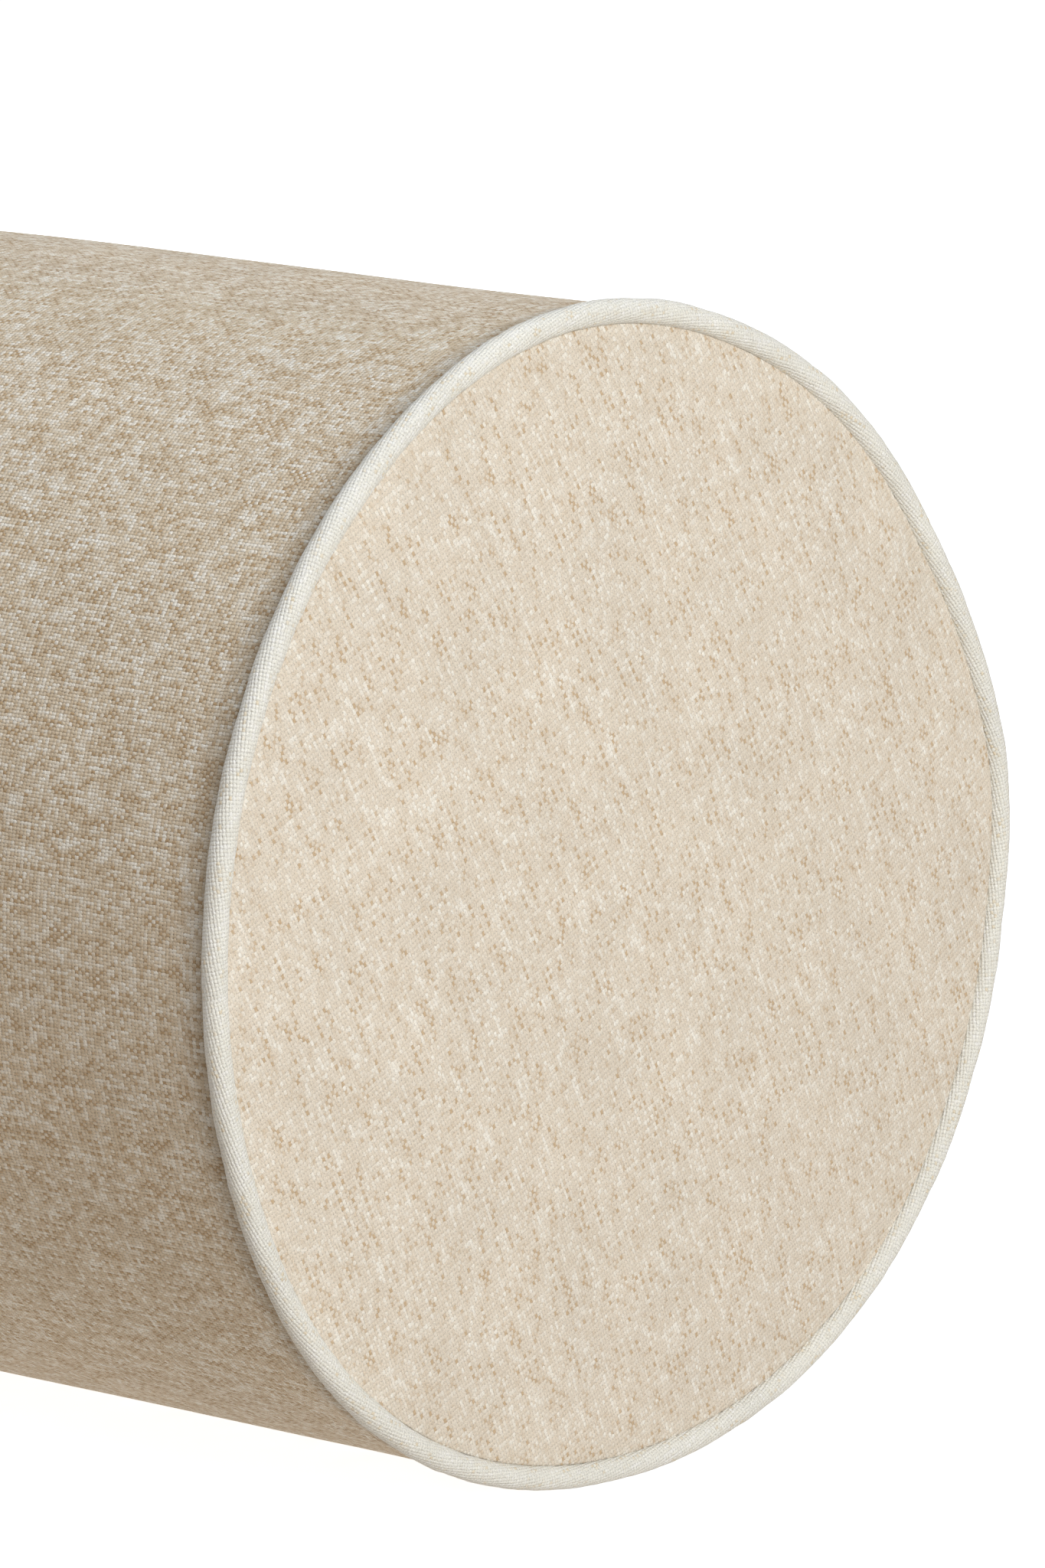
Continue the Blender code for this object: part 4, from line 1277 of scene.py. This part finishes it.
# %% Stitch nodes
def stitch_tree(finish):
    """One arc of thread, set down along a line, each copy turned a little at random."""
    tree, given = new_geometry_tree("stitch_nodes", ["Stitches", "Pitch", "Stitch Length", "Thread", "Turn"])
    times = partial(maths, tree, "MULTIPLY")
    half, sunk = times(given["Stitch Length"], 0.5), times(given["Thread"], -1.6)
    arc = add_node(tree, "GeometryNodeCurveQuadraticBezier",
                   {"Resolution": 6, "Start": vector_of(tree, times(half, -1), 0.0, sunk),
                    "Middle": vector_of(tree, 0.0, 0.0, times(given["Thread"], 2.6)),
                    "End": vector_of(tree, half, 0.0, sunk)}).outputs[0]
    line = add_node(tree, "GeometryNodeMeshLine",
                    {"Count": given["Stitches"], "Offset": vector_of(tree, given["Pitch"], 0.0)},
                    mode="OFFSET", count_mode="TOTAL").outputs[0]
    askew = add_node(tree, "FunctionNodeRandomValue", {"Min": (0, -0.02, -0.05), "Max": (0, 0.02, 0.05), "Seed": 4},
                     data_type="FLOAT_VECTOR").outputs["Value"]
    stitch = swept(tree, arc, circle(tree, given["Thread"], 6), True)
    copies = add_node(tree, "GeometryNodeInstanceOnPoints",
                      {"Points": line, "Instance": stitch, "Rotation": askew}).outputs[0]
    turned = add_node(tree, "GeometryNodeRotateInstances",
                      {"Instances": copies, "Rotation": vector_of(tree, 0.0, 0.0, given["Turn"])}).outputs[0]
    end_in_material(tree, turned, finish)
    return tree


# %% Rows of stitches
sewing_tree = stitch_tree(thread)


def stitch_row(name, count, pitch, length, thickness, carry, turn=0.0):
    """One row, centred, with each point carried to its place by a function of along, across and height."""
    row = run_geometry_tree(name, sewing_tree, {"Stitches": float(count), "Pitch": pitch, "Stitch Length": length,
                                                "Thread": thickness, "Turn": turn})
    middle = (count - 1) * pitch / 2
    for vertex in row.data.vertices:
        vertex.co = carry(vertex.co.x - middle, vertex.co.y, vertex.co.z)
    point_outwards(row.data)
    print(name, count, "stitches,", len(row.data.polygons), "faces")
    return row


cover_tree = BVHTree.FromPolygons([vertex.co for vertex in cover.data.vertices],
                                  [tuple(face.vertices) for face in cover.data.polygons])


def on_cover(along, across, height):
    """A place on the cover beside the zip, found by looking in from outside."""
    angle = ZIP_ANGLE - across / RADIUS
    way = Vector((0, math.cos(angle), math.sin(angle)))
    hit = cover_tree.ray_cast(AXIS + Vector((along, 0, 0)) + way * (RADIUS + 10 * MM), -way)[0]
    base = (hit - AXIS - Vector((along, 0, 0))).length if hit else RADIUS
    return AXIS + Vector((along, 0, 0)) + way * (base + height)


ROW = SLIT_HALF + 5.5 * MM
TOPSTITCHES, TOPSTITCH_PITCH = 193, 3.0 * MM
COIL_STITCHES = 376
thread_pieces = []
for name, way in (("upper", -1), ("lower", 1)):
    thread_pieces.append(stitch_row(f"topstitch_{name}", TOPSTITCHES, TOPSTITCH_PITCH, 2.5 * MM, 0.21 * MM,
                                    lambda x, y, z, way=way: on_cover(x, y + way * ROW, z + 0.12 * MM)))
    low, high = reach(f"zip_coil_{name}", ACROSS)
    top = reach(f"zip_coil_{name}", OUT)[1]
    thread_pieces.append(stitch_row(f"coil_stitch_{name}", COIL_STITCHES, COIL_PITCH, 1.5 * MM, 0.10 * MM,
                                    lambda x, y, z, low=low, high=high, top=top, way=way: on_zip(
                                        x, y + (low + high) / 2 + way * COIL_LEAN, top - 0.16 * MM + z * 0.4)))
for name, way in (("start", -1), ("end", 1)):
    thread_pieces.append(stitch_row(f"bar_tack_{name}", 12, 0.45 * MM, 8.5 * MM, 0.17 * MM,
                                    lambda x, y, z, way=way: on_cover(way * (SLIT_END + 3.0 * MM) + x, y, z),
                                    math.pi / 2))

# %% [markdown]
# ## Hand the pieces over
#
# Each piece says which body it rides on and which solids it stands for. The slider and its
# pull move; everything else is the bolster itself.

# %% Bodies and solids
bpy.data.objects.remove(section)


def hand_over(piece, body, slot, *solids):
    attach(piece, body)
    if solids:
        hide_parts(*solids)


hand_over(cover, "bolster", "woven_cover", "cover_body")
for side, place in ((1, "near"), (-1, "far")):
    hand_over(panels[side], "bolster", "woven_cover", f"end_panel_{place}")
    hand_over(piping[side], "bolster", "piping_cloth", f"piping_{place}")
    hand_over(cords[side], "bolster", "cotton_cord", f"piping_cord_{place}")
    hand_over(inner_pieces[f"casing_{place}"], "bolster", "calico", f"casing_end_{place}")
    hand_over(inner_pieces[f"wadding_{place}"], "bolster", "polyester_wadding", f"wadding_end_{place}")
hand_over(casing, "bolster", "calico", "casing_body")
hand_over(wadding, "bolster", "polyester_wadding", "wadding_wrap")
hand_over(inner_pieces["core"], "bolster", "foam", "foam_core")
for solid, piece in zip_pieces.items():
    kind = {"tape": "zip_tape", "coil": "nylon_coil"}.get(solid.split("_")[1], "stop_metal")
    if solid in ("zip_slider", "zip_pull"):
        hand_over(piece, "slider" if solid == "zip_slider" else "pull", "slider_enamel", solid)
    else:
        hand_over(piece, "bolster", kind, solid)
for piece in thread_pieces:
    hand_over(piece, "bolster", "zip_tape")
